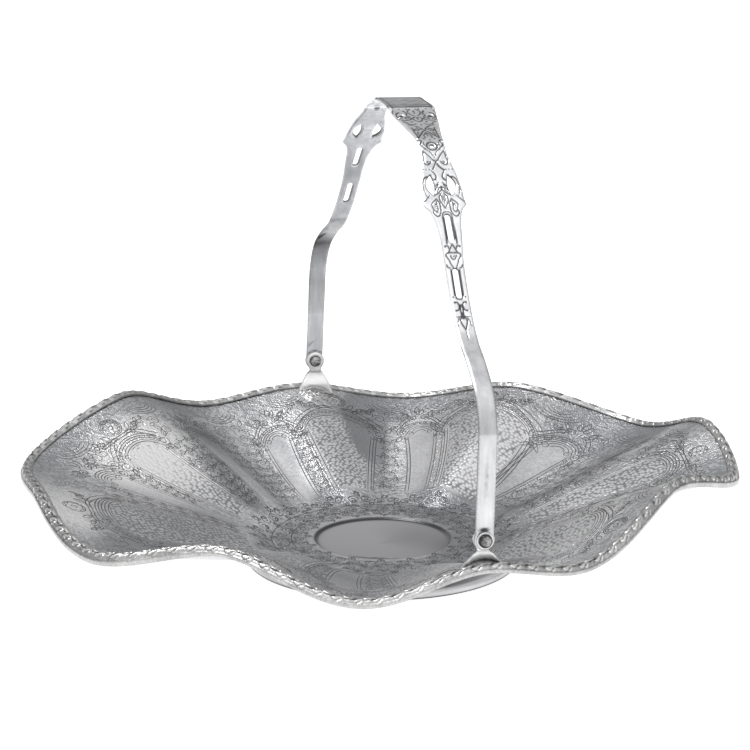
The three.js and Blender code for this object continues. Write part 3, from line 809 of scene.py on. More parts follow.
def floor_lines():
    """Chasing of the floor and the foot of the wall: three running scrolls with leaves, and rings."""
    made = []
    for ring, turns, size in ((35.4, 32, 2.7), (43.0, 38, 2.9), (52.6, 56, 2.7)):
        for step in range(turns):
            start, hand = step * TURN / turns, 1 if step % 2 else -1
            for line in (spiral((0, hand * 0.7), 180, size, 1.5, hand, 15),
                         leaf((size * 0.9, hand * size * 0.7), hand * 60, size * 1.4),
                         leaf((-size * 0.5, -hand * size * 0.8), 180 + hand * 50, size * 1.3),
                         leaf((size * 1.5, -hand * size * 0.5), -hand * 20, size * 1.2)):
                made.append(np.stack([start + line[:, 0] / ring, ring + line[:, 1]], -1))
    around = np.linspace(0, TURN, 240)
    for ring in (39.2, 47.6):
        made.append(np.stack([around, np.full(240, ring)], -1))
    return made


def make_chasing():
    """All the chased lines, in a piece for the panels, one for the scrolls and one for the floor, each
    with its lines' width as a share of the widest."""
    silver = chased_silver()
    pairs = zip(PANELS, PANELS[1:] + PANELS[:1])
    groups = [
        ("panel_chasing", 0.95, [on_panel(panel, line) for panel in PANELS for line in panel_lines(panel)]),
        ("scroll_chasing", 0.74, [line for pair in pairs for line in strip_lines(*pair)]),
        ("floor_chasing", 1.1, floor_lines()),
    ]
    return [chase(name, lines, silver, size) for name, size, lines in groups]


def chased_silver():
    """A cut line in silver plate: oxide lies in it, and a painted highlight on its outer lip stands in for
    the bright wall of the cut.
    """
    dish = settings().dish

    def finish(tree, where, lip, tarnish_and_painted_light):
        cloud = add(tree, NOISE, {"Vector": where, "Scale": 1 / 5, "Detail": 3.0})
        share = add(tree, MATH, (tarnish_and_painted_light, 0.5, -0.25), operation="MULTIPLY_ADD")
        share = add(tree, MATH, (cloud, 0.5, share), operation="MULTIPLY_ADD")
        share = add(tree, MATH, (share, 0.85), operation="ADD")
        share = add(tree, MATH, (lip, share), operation="MULTIPLY", use_clamp=True)
        base = add(tree, MIX, {0: share, 6: (*dish.chased, 1), 7: (*srgb("#ededee"), 1)}, 2, data_type="RGBA")
        return base, 0.44, (0.0, 0.0, 0.0)

    return metal("oxidised_line", finish, ["lip", "tarnish_and_painted_light"])


def chase(name, lines, silver, size):
    """Chased lines: along each one runs a low bead whose foot lies just under the dish's face. Its
    inner half carries the oxide and its outer half, a little higher, the lip with its painted highlight,
    and it thins to nothing at both ends."""
    lines = [line for line in lines if len(line) > 2 and line[:, 1].max() < flat_radius(CHASED_TO)]
    sizes = np.array([len(line) for line in lines])
    last = np.cumsum(sizes) - 1
    first = last - sizes + 1
    path = np.vstack(lines)
    index = np.arange(len(path))
    owner = np.repeat(np.arange(len(lines)), sizes)
    here, normal = dish_normal(path[:, 0], path[:, 1])
    ahead = here[np.minimum(index + 1, last[owner])] - here[np.maximum(index - 1, first[owner])]
    ahead /= np.linalg.norm(ahead, axis=1, keepdims=True) + 1e-9
    side = np.cross(ahead, normal)
    # The lip and its painted highlight lie on the outer side, whichever way the line was drawn.
    outer = np.sign(np.add.reduceat((side * here)[:, :2].sum(1), first))[owner][:, None]
    side *= np.where(outer == 0, 1, outer)
    share = (index - first[owner]) / (sizes[owner] - 1)
    closed = np.linalg.norm(here[first] - here[last], axis=1)[owner] < 0.2
    thin = np.where(closed, 0.9, 0.35 + 0.65 * np.sin(math.pi * np.clip(share, 0.03, 0.97)) ** 0.35)
    # A line that runs round the dish is cut a little wider than one that climbs it.
    half = (size * settings().dish.line_width / MM / 2 * thin * (1.15 - 0.35 * np.abs(ahead[:, 2])))[:, None]
    section = ((-1.0, -0.1, 0.0), (-0.2, 0.05, 0.0), (0.7, 0.06, 0.15), (1.6, -0.05, 1.1))
    points = np.stack([here + side * half * out + normal * up for out, up, _ in section], 1).reshape(-1, 3)
    start = np.setdiff1d(index, last) * 4
    walls = np.vstack([np.stack([start + a, start + b, start + b + 4, start + a + 4], -1)
                       for a, b in ((0, 1), (1, 2), (2, 3), (3, 0))])
    caps = np.vstack([first[:, None] * 4 + [0, 3, 2, 1], last[:, None] * 4 + [0, 1, 2, 3]])
    marks = {"lip": np.tile([bright for _, _, bright in section], len(path)),
             "tarnish_and_painted_light": np.repeat(dish_tarnish_and_painted_light(path[:, 0], path[:, 1]), 4)}
    return make_piece(name, points, outward(points, [walls, caps]), silver, "basket",
                      marks, sharp=80)


# Border: its section about the crest as (outwards, up) in millimetres, from the lip over the crest
# to the foot of the rib, and back inside.
BORDER_FACE = [(-2.3, -1.5), (-1.9, -0.95), (-1.38, -0.42), (-0.7, -0.1), (0, 0), (0.7, -0.14), (1.3, -0.48),
               (1.9, -1.1), (2.35, -1.95), (2.6, -2.8)]
BORDER_RIB = [(2.6, -2.8), (2.9, -3.0), (3.05, -3.5), (3.05, -4.2), (2.95, -4.7), (2.7, -5.1), (2.3, -5.3)]
BORDER_BACK = [(1.89, -5.09), (1.586, -3.6), (1.1, -2.23), (0.49, -1.15), (-0.39, -1.15), (-2.3, -1.91)]


def border_leaves(along, across):
    """Height of the border's relief from 0 to 1 and how much oxide lies there. Long leaves lie along
    the rim, in turn inside and outside its middle: each is a drop whose width swells and tapers along
    a sine, with a vein, and a dark line under one flank. Each repeat differs a little, by a sine of
    its number. along counts repeats and across runs from -1 inside to 1 outside."""
    height, dark = 0.0, 0.0
    for start, side, long in ((0.0, -0.3, 0.72), (0.5, 0.36, 0.66), (0.3, -0.75, 0.34), (0.82, 0.82, 0.3)):
        number = np.floor(along - start)
        vary = 0.5 + 0.5 * np.sin(number * 12.9898 + start * 40)
        share = ((along - start) % 1) / (long * (0.85 + 0.2 * vary))
        inside = (share > 0) & (share < 1)
        share = np.clip(share, 0, 1)
        middle = side + 0.36 * np.sign(side) * (0.5 - share) + 0.12 * np.sin(TURN * share)
        wide = 0.05 + (0.26 + 0.1 * vary) * np.sin(math.pi * share ** 0.65)
        away = (across - middle) / wide
        vein = 0.3 * bell(away / 0.22) * ease((share - 0.12) / 0.2)
        drop = np.clip(1 - away ** 2, 0, 1) ** 0.7 * (0.75 + 0.25 * vary) - vein
        height = np.maximum(height, inside * drop)
        flank = bell((np.abs(away) - 1.15) / 0.3)
        flank = flank * ease((share - 0.05) / 0.1) * ease((0.75 - share) / 0.3)
        dark = np.maximum(dark, inside * flank * (0.5 + 0.5 * vary) * np.where(away * side > 0, 0.45, 1.0))
    number = np.floor(along)
    vary = 0.5 + 0.5 * np.sin(number * 7.31)
    near = (along % 1) - 0.45 - 0.16 * vary
    comma = bell(near / 0.13, (across - 0.1 + 2.4 * near) / (0.3 + 0.1 * vary))
    dark = np.maximum(dark * (1 - 0.7 * height), comma * (0.65 + 0.35 * vary))
    return np.clip(height, 0, 1), np.clip(dark, 0, 1)


LEAF_STEPS = 24  # points along each leaf of the border
CALM_AT, CALM_SPREAD = 318, 34  # degrees, where the border is worn smoother


def make_border():
    """The border: its section carried round the crest, with the relief raised along the face."""
    border = settings().border
    columns = border.repeats * LEAF_STEPS
    theta = np.arange(columns) * TURN / columns
    face, rib = smooth_path(BORDER_FACE, 2), smooth_path(BORDER_RIB, 1)[1:]
    section = np.vstack([face, rib, BORDER_BACK])
    slope = np.gradient(face, axis=0)
    normal = np.stack([-slope[:, 1], slope[:, 0]], -1) / np.linalg.norm(slope, axis=1, keepdims=True)
    across = np.linspace(-1.15, 1.15, len(face))
    radius, height, _ = rim_at(theta)
    # Repeats are even along the rim and not round the angle.
    step = np.hypot(np.roll(radius, -1) - radius, radius * TURN / columns)
    travelled = np.concatenate([[0], np.cumsum(step)[:-1]]) / step.sum() * border.repeats
    relief, pits = border_leaves(travelled[:, None], across[None, :])
    # Less oxide is left in the stretch that is worn smoother.
    calm = 1 - 0.5 * bell((np.degrees(theta) - CALM_AT) / CALM_SPREAD)[:, None]
    fade = ease((1.15 - np.abs(across)) / 0.2)
    lift = ((relief - 0.75) * fade - pits * fade * 0.7) * border.relief / MM
    out = np.broadcast_to(section[:, 0], (columns, len(section))).copy()
    up = section[:, 1] * (1 - thinned(np.degrees(theta)))[:, None]
    out[:, :len(face)] += lift * normal[:, 0]
    up[:, :len(face)] += lift * normal[:, 1]
    # The rib is dented here and there.
    dents = 0.09 * ripple(radius * np.cos(theta), radius * np.sin(theta), height, 31)
    out[:, len(face):-3] += dents[:, None] - 0.09
    reach = radius[:, None] + out
    x, y = reach * np.cos(theta)[:, None], reach * np.sin(theta)[:, None]
    points = np.stack([x, y, height[:, None] + up], -1)
    bright = np.full(out.shape, 0.55)
    bright[:, :len(face)] = np.clip(0.5 + 0.38 * relief - pits * calm * 0.95, 0, 1)
    bright[:, len(face) - 1] = 0.2  # the groove beside the rib
    # Painted shadow of the border along the seam to the dish.
    bright[:, 0] = 0.15  # the seam to the dish
    points = points.reshape(-1, 3)
    faces = outward(points, [grid_faces(columns, len(section), True, True)])
    return make_piece("border", points, faces, border_silver(), "basket",
                      {"relief": bright.ravel()}, ["rim_border"], sharp=50)


def border_silver():
    """Rolled silver plate: bright where fingers rub its relief, oxide between the leaves."""
    border = settings().border

    def finish(tree, where, relief):
        cloud = add(tree, NOISE, {"Vector": where, "Scale": 1 / 9, "Detail": 4.0})
        speck = add(tree, NOISE, {"Vector": where, "Scale": 1 / 1.2, "Detail": 3.0, "Roughness": 0.7})
        share = add(tree, MATH, (speck, 0.7, -0.6), operation="MULTIPLY_ADD")
        share = add(tree, MATH, (cloud, 0.5, share), operation="MULTIPLY_ADD")
        share = add(tree, MATH, (relief, share), operation="ADD", use_clamp=True)
        base = add(tree, MIX, {0: share, 6: (*border.tarnish, 1), 7: (*border.silver, 1)}, 2,
                   data_type="RGBA")
        rough = add(tree, MATH, (relief, -0.2, 0.46), operation="MULTIPLY_ADD")
        return base, rough, add(tree, BUMP, {"Height": speck, "Distance": 0.06 * MM})

    return metal("rolled_silver_plate", finish, ["relief"])


FOOT_SHARES = [(0, 1), (0.16, 0.82), (0.42, 0.6), (0.72, 0.5), (0.9, 0.46), (0.98, 0.36), (1, 0.2), (0.97, 0)]
FOOT_GAP = 0.3  # solder between the foot and the floor


def make_foot():
    """The foot: its outer face falls from the neck in a cove to a bead, its inner face follows it."""
    dish, foot = settings().dish, settings().foot
    height = (dish.floor_height - dish.sheet) / MM - FOOT_GAP
    neck, spread, wall = foot.neck / MM, (foot.radius - foot.neck) / MM, foot.wall / MM
    outside = smooth_path([(neck + out * spread, up * height) for out, up in FOOT_SHARES], 6)
    inside = [(neck + out * spread - wall / 2, up * height - wall) for out, up in FOOT_SHARES[1:-3]]
    inside = [(outside[-1, 0] - 2.2, 0), *smooth_path(inside[::-1], 4), (neck - 2 * wall, height - wall),
              (neck - 2 * wall, height)]
    points, faces = lathe(np.vstack([outside, inside]), 240)
    points[:, 2] = np.maximum(points[:, 2], 0)
    # Darker up to 1.1 mm over the floor: grime with a painted contact shadow.
    grime_and_shade = ease(1 - points[:, 2] / 1.1)
    return make_piece("foot", points, outward(points, faces), spun_silver(), "basket",
                      {"grime_and_shade": grime_and_shade}, ["foot_ring"])


def spun_silver():
    """Spun silver plate: smooth, with faint clouds of tarnish, fine wear, and grime with a painted contact
    shadow where it stands.
    """
    shade = settings().foot.silver

    def finish(tree, where, grime_and_shade):
        cloud = add(tree, NOISE, {"Vector": where, "Scale": 1 / 21, "Detail": 5.0})
        share = add(tree, MATH, (cloud, 2.0, -0.35), operation="MULTIPLY_ADD", use_clamp=True)
        base = add(tree, MIX, {0: share, 6: (*(c * 0.7 for c in shade), 1), 7: (*shade, 1)}, 2,
                   data_type="RGBA")
        base = add(tree, MIX, {0: grime_and_shade, 6: base, 7: (*srgb("#333335"), 1)}, 2, data_type="RGBA")
        wear = add(tree, NOISE, {"Vector": where, "Scale": 1 / 7, "Detail": 5.0, "Roughness": 0.7})
        rough = add(tree, MATH, (wear, 0.16, 0.36), operation="MULTIPLY_ADD")
        fine = add(tree, NOISE, {"Vector": where, "Scale": 1 / 1.4, "Detail": 3.0})
        return base, rough, add(tree, BUMP, {"Height": fine, "Distance": 0.03 * MM})

    return metal("spun_silver_plate", finish, ["grime_and_shade"])


# Handle: stations from a rivet to the middle of the top, as shares of half span, rise and width.
ARM_SHARES = [
    (1, 0, 0.386), (0.995, 0.184, 0.386), (0.988, 0.299, 0.386), (0.944, 0.383, 0.386),
    (0.851, 0.446, 0.386), (0.767, 0.488, 0.386), (0.704, 0.537, 0.391), (0.631, 0.612, 0.4),
    (0.588, 0.667, 0.411), (0.552, 0.721, 0.46), (0.513, 0.762, 0.55), (0.487, 0.786, 0.7),
    (0.473, 0.799, 0.898), (0.459, 0.812, 0.86), (0.437, 0.83, 0.858), (0.399, 0.866, 0.756),
    (0.362, 0.895, 0.624), (0.337, 0.913, 0.553), (0.299, 0.939, 0.553), (0.237, 0.956, 0.67),
    (0.172, 0.971, 0.822), (0.1, 0.989, 0.975), (0.075, 0.997, 1), (0, 1, 0.975),
]
PIVOT = (3.8, 0.0, 51.1)
LEAN = 1.8  # degrees towards +X
RIVET_HOLE = 1.8
EYE_HOLE, EYE_HOLES = 1.0, (6.2, 19)  # radius, and place across and along the strap
ROUND_HOLE = 45.4  # place along the strap
SCROLL_AT, SCROLL_HALF, SCROLL_WIDTH = (4.7, 65.4), 5.1, 4.2  # place, half length and bow of the back
SLOTS = [(85.9, 13.2, 2.5), (109.9, 13.2, 2.5)]  # middle along the strap, length, width
TOP_STEP, TOP_END, HEAD_START, HEAD_END = 8.6, 11.6, 11, 47  # flat top and foliage along the strap
ORNAMENT_END = 138  # the stamped lines end before this place along the strap


def strap_path():
    """The strap from the middle of its top to a rivet: distance along it, reach, rise and width."""
    handle = settings().handle
    shares = np.array(ARM_SHARES) * [handle.half_span / MM, handle.rise / MM, handle.plate_width / MM]
    both = np.vstack([shares, (shares[:-1] * [-1, 1, 1])[::-1]])
    curve = smooth_path(both[:, [2, 0, 1]], 16)
    half = curve[:len(curve) // 2 + 1][::-1]
    along = np.concatenate([[0], np.cumsum(np.hypot(*np.diff(half[:, 1:], axis=0).T))])
    return along, half[:, 1], half[:, 2], half[:, 0]


def on_strap(across, along, off):
    """Points of the +Y arm in the row frame from places in the flat strap: along follows the path,
    off stands out of the strap's middle, and the whole leans about the rivets' line."""
    distance, reach, rise, _ = strap_path()
    slope = np.stack([np.gradient(reach, distance), np.gradient(rise, distance)])
    past = np.maximum(along - distance[-1], 0)
    y = np.interp(along, distance, reach) + past * slope[0, -1]
    z = np.interp(along, distance, rise) + past * slope[1, -1]
    slope_y, slope_z = np.interp(along, distance, slope[0]), np.interp(along, distance, slope[1])
    size = np.hypot(slope_y, slope_z)
    y, z = y - off * slope_z / size, z + off * slope_y / size
    c, s = math.cos(math.radians(LEAN)), math.sin(math.radians(LEAN))
    return np.stack([across * c + z * s + PIVOT[0], y + PIVOT[1], -across * s + z * c + PIVOT[2]], -1)


def stroke_distance(points, line, widths):
    """Distance from points to a stroke's edge, below 0 inside: to the nearest segment, less the
    width there."""
    start, step = line[:-1], np.diff(line, axis=0)
    away = points[:, None] - start[None]
    share = np.clip((away * step).sum(-1) / (step ** 2).sum(-1), 0, 1)
    reach = np.linalg.norm(away - share[..., None] * step, axis=-1)
    wide = widths[:-1] + (widths[1:] - widths[:-1]) * share
    return (reach - wide).min(1)


def inside_loop(points, loop):
    """True for points inside a closed loop, by counting the sides that a level ray crosses."""
    x, y = points[:, 0:1], points[:, 1:2]
    x0, y0 = loop.T
    x1, y1 = np.roll(loop, -1, 0).T
    crosses = (y0 > y) != (y1 > y)
    with np.errstate(divide="ignore", invalid="ignore"):
        hit = x < (x1 - x0) * (y - y0) / (y1 - y0) + x0
    return (crosses & hit).sum(1) % 2 == 1


def scroll_opening(side):
    """A C-shaped opening: its back bows outwards and its inner side follows a shallower bow."""
    t = np.linspace(0, 1, 12)[:, None]
    half, width = SCROLL_HALF, SCROLL_WIDTH
    back = ((1 - t) ** 2 * [-side * width / 4, half] + 2 * t * (1 - t) * [side * width, 0]
            + t ** 2 * [-side * width / 4, -half])
    t = t[::-1, 0]
    inner = np.stack([-side * (width / 4 + width / 4 * np.sin(math.pi * t) * 0.9), (1 - 2 * t) * half], -1)
    return np.vstack([back, inner[1:-1]]) + [side * SCROLL_AT[0], SCROLL_AT[1]]


def strap_holes():
    """Outlines of the openings of one arm."""
    loops = [arc((0, ROUND_HOLE), (EYE_HOLE,) * 2, 0, 345, 16)]
    for side in (1, -1):
        loops.append(arc((side * EYE_HOLES[0], EYE_HOLES[1]), (EYE_HOLE,) * 2, 0, 345, 14))
        loops.append(scroll_opening(side))
    for middle, long, wide in SLOTS:
        straight = (long - wide) / 2
        loops.append(np.vstack([arc((0, middle + straight), (wide / 2,) * 2, 0, 180, 9),
                                arc((0, middle - straight), (wide / 2,) * 2, 180, 360, 9)]))
    loops.append(arc((0, strap_path()[0][-1]), (RIVET_HOLE,) * 2, 0, 345, 20))
    return loops


def mirrored(strokes):
    """Strokes and their copies on the other side of the strap's middle line."""
    return strokes + [(line * [-1, 1], widths) for line, widths in strokes]


def stroke(points, start, end=None):
    """A curved stroke through points whose half width runs evenly from start to end."""
    line = smooth_path(points, 4) if len(points) > 2 else np.asarray(points, float)
    return line, np.linspace(start, start if end is None else end, len(line))


def dot(x, along, radius):
    """A round punch mark."""
    return np.array([(x, along), (x, along + 0.05)]), np.array([radius, radius])


def curl(middle, start, radius, turns, hand, width):
    """A stamped volute that thins towards its eye."""
    line = spiral(middle, start, radius, turns, hand, 14)
    return line, np.linspace(width, width * 0.6, len(line))


def strap_ornament():
    """The stamped lines of one arm in the flat strap: (across, along) from the middle of the top, with
    half widths. Only the middle ones are drawn once; the others have a mirror image."""
    mirror = [
        # Flat top: beads along its edges and two steps across its end, grooves whose dark colour is painted
        # shadow of the steps.
        stroke([(8.3, 0), (8.5, 8), (8.3, 12)], 0.2), stroke([(0, 3.9), (8.2, 3.9)], 0.16),
        stroke([(0, 10.7), (8.6, 10.9)], 0.42),
        stroke([(0, 1.4), (8.2, 1.4)], 0.12),
        # Volutes round the eye holes, and leaves between them.
        stroke([(6.6, 15.6), (8.1, 17.2), (7.9, 20.2), (6.2, 21.6)], 0.34, 0.22),
        stroke([(8.6, 13.6), (9.4, 16.6), (8.8, 20.6), (6.4, 23.2), (4.6, 23.0)], 0.2),
        curl((4.2, 21.2), 60, 1.9, 1.3, 1, 0.3),
        stroke([(4.4, 14), (3.4, 16.4), (4.0, 18.4), (3.0, 19.6)], 0.32, 0.2),
        stroke([(1.2, 12.6), (2.6, 14.4), (2.2, 17), (0.8, 18.6)], 0.24),
        stroke([(0.6, 19.8), (1.9, 21), (1.4, 23.4), (0, 24.6)], 0.26),
        dot(2.6, 12.6, 0.34), dot(5.8, 12.6, 0.3), stroke([(6.9, 24.4), (5.6, 25.2), (5.2, 27)], 0.28, 0.16),
        dot(3.0, 24.4, 0.4),
        # Crossed straps down to the round hole.
        stroke([(5.2, 27.6), (3.4, 28.4), (1.2, 30.8), (0.1, 33.4)], 0.26),
        stroke([(4.8, 30.2), (4.5, 36), (4.5, 40.2)], 0.24),
        stroke([(4.5, 40.2), (2.9, 37.5), (0.9, 33.8)], 0.3),
        stroke([(1.9, 26.4), (3.2, 27.2), (4.8, 26.6)], 0.26, 0.18),
        curl((3.0, 32.6), 200, 1.5, 1.2, 1, 0.3), stroke([(3.2, 34.8), (3.6, 36.4), (3.4, 38)], 0.3, 0.12),
        stroke([(2.0, 29.0), (2.8, 30.2)], 0.26, 0.14),
        stroke([(0.4, 35.6), (1.6, 38), (1.4, 40)], 0.22), dot(0.7, 31.0, 0.3), dot(2.2, 40.6, 0.36),
        # Lozenge round the hole.
        stroke([(5.4, 41.6), (3.8, 42.2), (4.7, 44.6), (3.7, 46), (2.8, 46.8)], 0.26),
        stroke([(3.0, 43.4), (3.2, 45)], 0.22),
        # Windows with a scroll in each.
        stroke([(4.4, 47.9), (2.5, 50.3), (0.9, 53.1)], 0.26),
        stroke([(4.4, 47.9), (4.7, 51.2), (5.0, 54.2), (4.0, 55.4), (2.8, 54.8), (2.1, 53.9)], 0.26),
        curl((3.1, 53.9), 200, 0.95, 1.1, -1, 0.26), stroke([(3.3, 46.9), (1.6, 48.1), (0.4, 50.6)], 0.2),
        stroke([(0.5, 52.9), (-0.6, 55.1), (-2.1, 57.8)], 0.27),
        *[dot(x, 57.7, 0.3) for x in (3.5, 4.8, 6.1)],
        # Lozenge and the volutes over the C openings.
        stroke([(2.7, 58.3), (2.0, 59.5), (1.35, 61.2), (1.6, 62.5), (2.8, 63.1)], 0.2, 0.42),
        stroke([(2.6, 63.1), (3.9, 61.9), (5.3, 61.4), (6.6, 62.4), (7.3, 64.6)], 0.44, 0.22),
        stroke([(7.3, 64.6), (7.5, 68), (6.4, 71.6)], 0.2, 0.14),
        stroke([(3.5, 64.6), (3.0, 65.7), (1.8, 65.3), (0.8, 64.2)], 0.34, 0.24), dot(3.4, 64.7, 0.42),
        # Cluster of leaves and the drops beside it.
        stroke([(1.1, 65.2), (2.5, 67.6), (4.0, 70.2), (2.0, 69.6), (0.6, 68.2)], 0.28),
        stroke([(0.9, 66.6), (2.2, 69)], 0.3, 0.12),
        stroke([(0.5, 69.4), (1.7, 71.2), (1.6, 73.6), (0.1, 76.6)], 0.24),
        stroke([(0.7, 70.6), (0.6, 73.4)], 0.18, 0.1),
        stroke([(5.6, 70.6), (7.0, 72.3), (8.3, 73.6)], 0.2, 0.26),
        stroke([(3.1, 72.2), (5.4, 74.8), (5.0, 77.4), (5.3, 79.2), (3.9, 80.6), (2.5, 79.4), (2.0, 76.4),
                (2.2, 74.2), (3.1, 72.2)], 0.26),
        stroke([(3.2, 73.4), (3.4, 75.6), (3.2, 77.6), (4.0, 78.5), (4.6, 77.8)], 0.24),
        stroke([(4.0, 74.6), (4.3, 76.6)], 0.24, 0.1),
        # Rims of the slots, darker towards their lower ends.
        stroke([(0, 78.4), (1.2, 78.7), (1.9, 80.2), (1.95, 84.5), (2.05, 89), (2.1, 92.8)], 0.2, 0.34),
        stroke([(1.75, 104), (1.8, 110), (1.7, 115.4)], 0.3, 0.3),
        stroke([(0, 117.2), (1.1, 116.9), (1.6, 115.6)], 0.24),
        # Flower between the slots.
        dot(3.0, 94.0, 0.42), stroke([(1.5, 95.0), (2.0, 93.8), (3.1, 93.9)], 0.28),
        stroke([(0, 93.2), (1.0, 95), (1.9, 96.8)], 0.28),
        stroke([(0.3, 96.7), (1.8, 96.7), (3.1, 97.6), (2.6, 98.8), (2.0, 99.8), (1.5, 101.4),
                (0.7, 103)], 0.3, 0.24),
        dot(3.1, 98, 0.36), stroke([(1.2, 97.9), (0.7, 99.2), (0, 99.6)], 0.26),
        stroke([(3.3, 102), (2.8, 103), (1.9, 103.2)], 0.32, 0.2),
        # Volutes, leaves and bud of the tail.
        dot(2.5, 116, 0.34),
        stroke([(2.4, 118.4), (1.3, 118.5), (0.8, 120.4), (1.3, 121.9), (2.4, 122.3)], 0.34, 0.3),
        dot(2.3, 118.5, 0.42), dot(2.3, 122.2, 0.42),
        stroke([(0.2, 119.6), (0.5, 122), (0.4, 124.6)], 0.3, 0.42),
        stroke([(0.5, 124.8), (1.6, 125.2), (2.9, 125.2)], 0.34, 0.1),
        stroke([(1.8, 125.8), (2.5, 127.8), (2.75, 129.8)], 0.24, 0.1),
        stroke([(0.4, 125), (1.35, 126.8), (1.0, 128.8), (0.1, 131.2)], 0.3, 0.34),
    ]
    middle = [
        stroke([(0, 14), (0, 17)], 0.3, 0.14), stroke([(0, 20.6), (0, 23)], 0.3, 0.12), dot(0, 27.6, 0.4),
        stroke([(0, 35), (0, 38.6)], 0.3, 0.14),
        (arc((0, ROUND_HOLE), (2.15, 2.15), 0, 360), np.full(24, 0.34)), dot(0, 41.6, 0.3),
        dot(0, 51.4, 0.24),
        stroke([(0.4, 55.4), (1.3, 56.8), (2.6, 58)], 0.4), dot(0, 66.4, 0.62), dot(0, 67.6, 0.5),
        stroke([(0, 70.4), (0, 74.6)], 0.14, 0.1),
        dot(0.2, 98.2, 0.3), stroke([(0, 123.6), (0, 126)], 0.6, 0.4),
        stroke([(0, 131), (0, 135.6)], 0.3, 0.08), dot(0, 136.4, 0.22),
    ]
    return mirrored(mirror) + middle


def beside(loop, off):
    """Points off to the inner side of a closed loop drawn anticlockwise, along its normals."""
    along = np.roll(loop, -1, 0) - np.roll(loop, 1, 0)
    turned = np.sign((loop[:, 0] * np.roll(loop[:, 1], -1) - np.roll(loop[:, 0], -1) * loop[:, 1]).sum())
    normal = np.stack([-along[:, 1], along[:, 0]], -1)
    return loop + turned * off * normal / (np.linalg.norm(along, axis=1, keepdims=True) + 1e-9)


LIP = 0.3  # from a cut edge to the row of points beside it


def cut_sheet(outline, holes, inner, free=None):
    """Flat mesh of a cut sheet: its triangles join the outlines, rows of points a little way beside
    them, and a cloud of inner points. Returns points, triangles and each point's distance to the
    nearest cut edge; free is the part of the outline that is cut."""
    loops = [outline, *holes]

    def kept(places):
        inside = inside_loop(places, outline)
        for hole in holes:
            inside &= ~inside_loop(places, hole)
        return inside

    walls = [np.vstack([loop, loop[:1]]) for loop in loops]
    if free is not None:
        walls[0] = free

    def to_edge(places):
        return np.min([stroke_distance(places, wall, np.zeros(len(wall))) for wall in walls], axis=0)

    inner = inner[kept(inner)]
    inner = inner[to_edge(inner) > 1.6 * LIP]
    row = np.vstack([beside(outline, LIP), *[beside(hole, -LIP) for hole in holes]])
    row = row[kept(row)]
    row = row[to_edge(row) > 0.9 * LIP]
    sides, offset = [], 0
    for loop in loops:
        sides += [(offset + i, offset + (i + 1) % len(loop)) for i in range(len(loop))]
        offset += len(loop)
    places = [Vector(p) for p in np.vstack([*loops, row, inner])]
    made, _, triangles, *_ = delaunay_2d_cdt(places, sides, [], 0, 1e-6)
    points = np.array([tuple(p) for p in made])
    triangles = np.array([t for t in triangles if len(t) == 3])
    return points, triangles[kept(points[triangles].mean(1))], to_edge(points)


PITCH = 0.32  # between the points of the ornamented part


def flat_strap():
    """Flat mesh of one arm from the middle of the top. The points are closer together where the strap
    is ornamented, and its first row is the seam to the other arm."""
    distance, _, _, width = strap_path()
    end, radius = distance[-1], settings().handle.end_radius / MM
    plain = ORNAMENT_END + 2
    stations = np.concatenate([np.arange(0, plain, 0.5), np.arange(plain, end - 2.4, 2.0), [end - 2]])
    half = np.interp(stations, distance, width) / 2
    side = np.stack([half, stations], -1)
    cut = np.vstack([side, arc((0, end), (radius, radius), -24, 204, 22), (side * [-1, 1])[::-1]])
    seam = np.linspace(-half[0], half[0], 61)[1:-1]
    fine = np.meshgrid(np.arange(-9.6, 9.61, PITCH), np.arange(PITCH, ORNAMENT_END, PITCH))
    coarse = np.meshgrid(np.arange(-3.6, 3.7, 0.6), np.arange(ORNAMENT_END + 0.6, end + 4, 0.7))
    inner = np.vstack([np.stack([x.ravel(), y.ravel()], -1) for x, y in (fine, coarse)])
    return cut_sheet(np.vstack([cut, np.stack([seam, np.zeros(59)], -1)]), strap_holes(), inner, cut)


def strap_relief(points, edge):
    """Depth of the stamped lines and how bright each place is: a line is a trough as wide as its
    stroke, and its oxide thins towards its sides."""
    near = np.full(len(points), 9.0)
    for line, widths in strap_ornament():
        widths = widths * np.where(line[:, 1] < HEAD_END - 1, 1.3, 1.0)
        middle, room = (line.max(0) + line.min(0)) / 2, np.ptp(line, axis=0) / 2 + 1.5
        close = (np.abs(points - middle) < room).all(1)
        near[close] = np.minimum(near[close], stroke_distance(points[close], line, widths))
    groove = ease(0.62 - near / 0.34) * ease((edge + 0.1) / 0.3)
    # The foliage at the head stands on a slightly sunk, dull ground, and the flat top is dull too,
    # with a step across its end, sunk and painted darker as its shadow.
    s = points[:, 1]
    ground = ease((HEAD_END - s) / 6) * ease((s - HEAD_START) / 1.5) * ease((edge - 0.7) / 0.4)
    top = ease((TOP_END - s) / 0.8)
    step = bell((s - TOP_STEP) / 1.5)
    depth = settings().handle.groove / MM
    dull = 0.26 * ground + top * (0.4 + 0.25 * step + 0.12 * ripple(points[:, 0], s, 0, 5.0))
    return -depth * np.maximum(groove, 0.5 * ground + 0.6 * step * top), 1 - np.maximum(groove * 0.93, dull)


def sheet_walls(points, triangles, seam=None):
    """Four-sided faces between the outer and inner sheet along the edges of only one triangle."""
    sides = np.vstack([triangles[:, [0, 1]], triangles[:, [1, 2]], triangles[:, [2, 0]]])
    _, at, count = np.unique(np.sort(sides, 1), axis=0, return_index=True, return_counts=True)
    rim = sides[at[count == 1]]
    if seam is not None:
        rim = rim[~seam[rim].all(1)]
    return np.stack([rim[:, 1], rim[:, 0], rim[:, 0] + len(points), rim[:, 1] + len(points)], -1)


PLAIN_FROM = 130  # where the strap's plain part starts along it
BEND = 42.6  # from the rivet up to the sharp bend over it
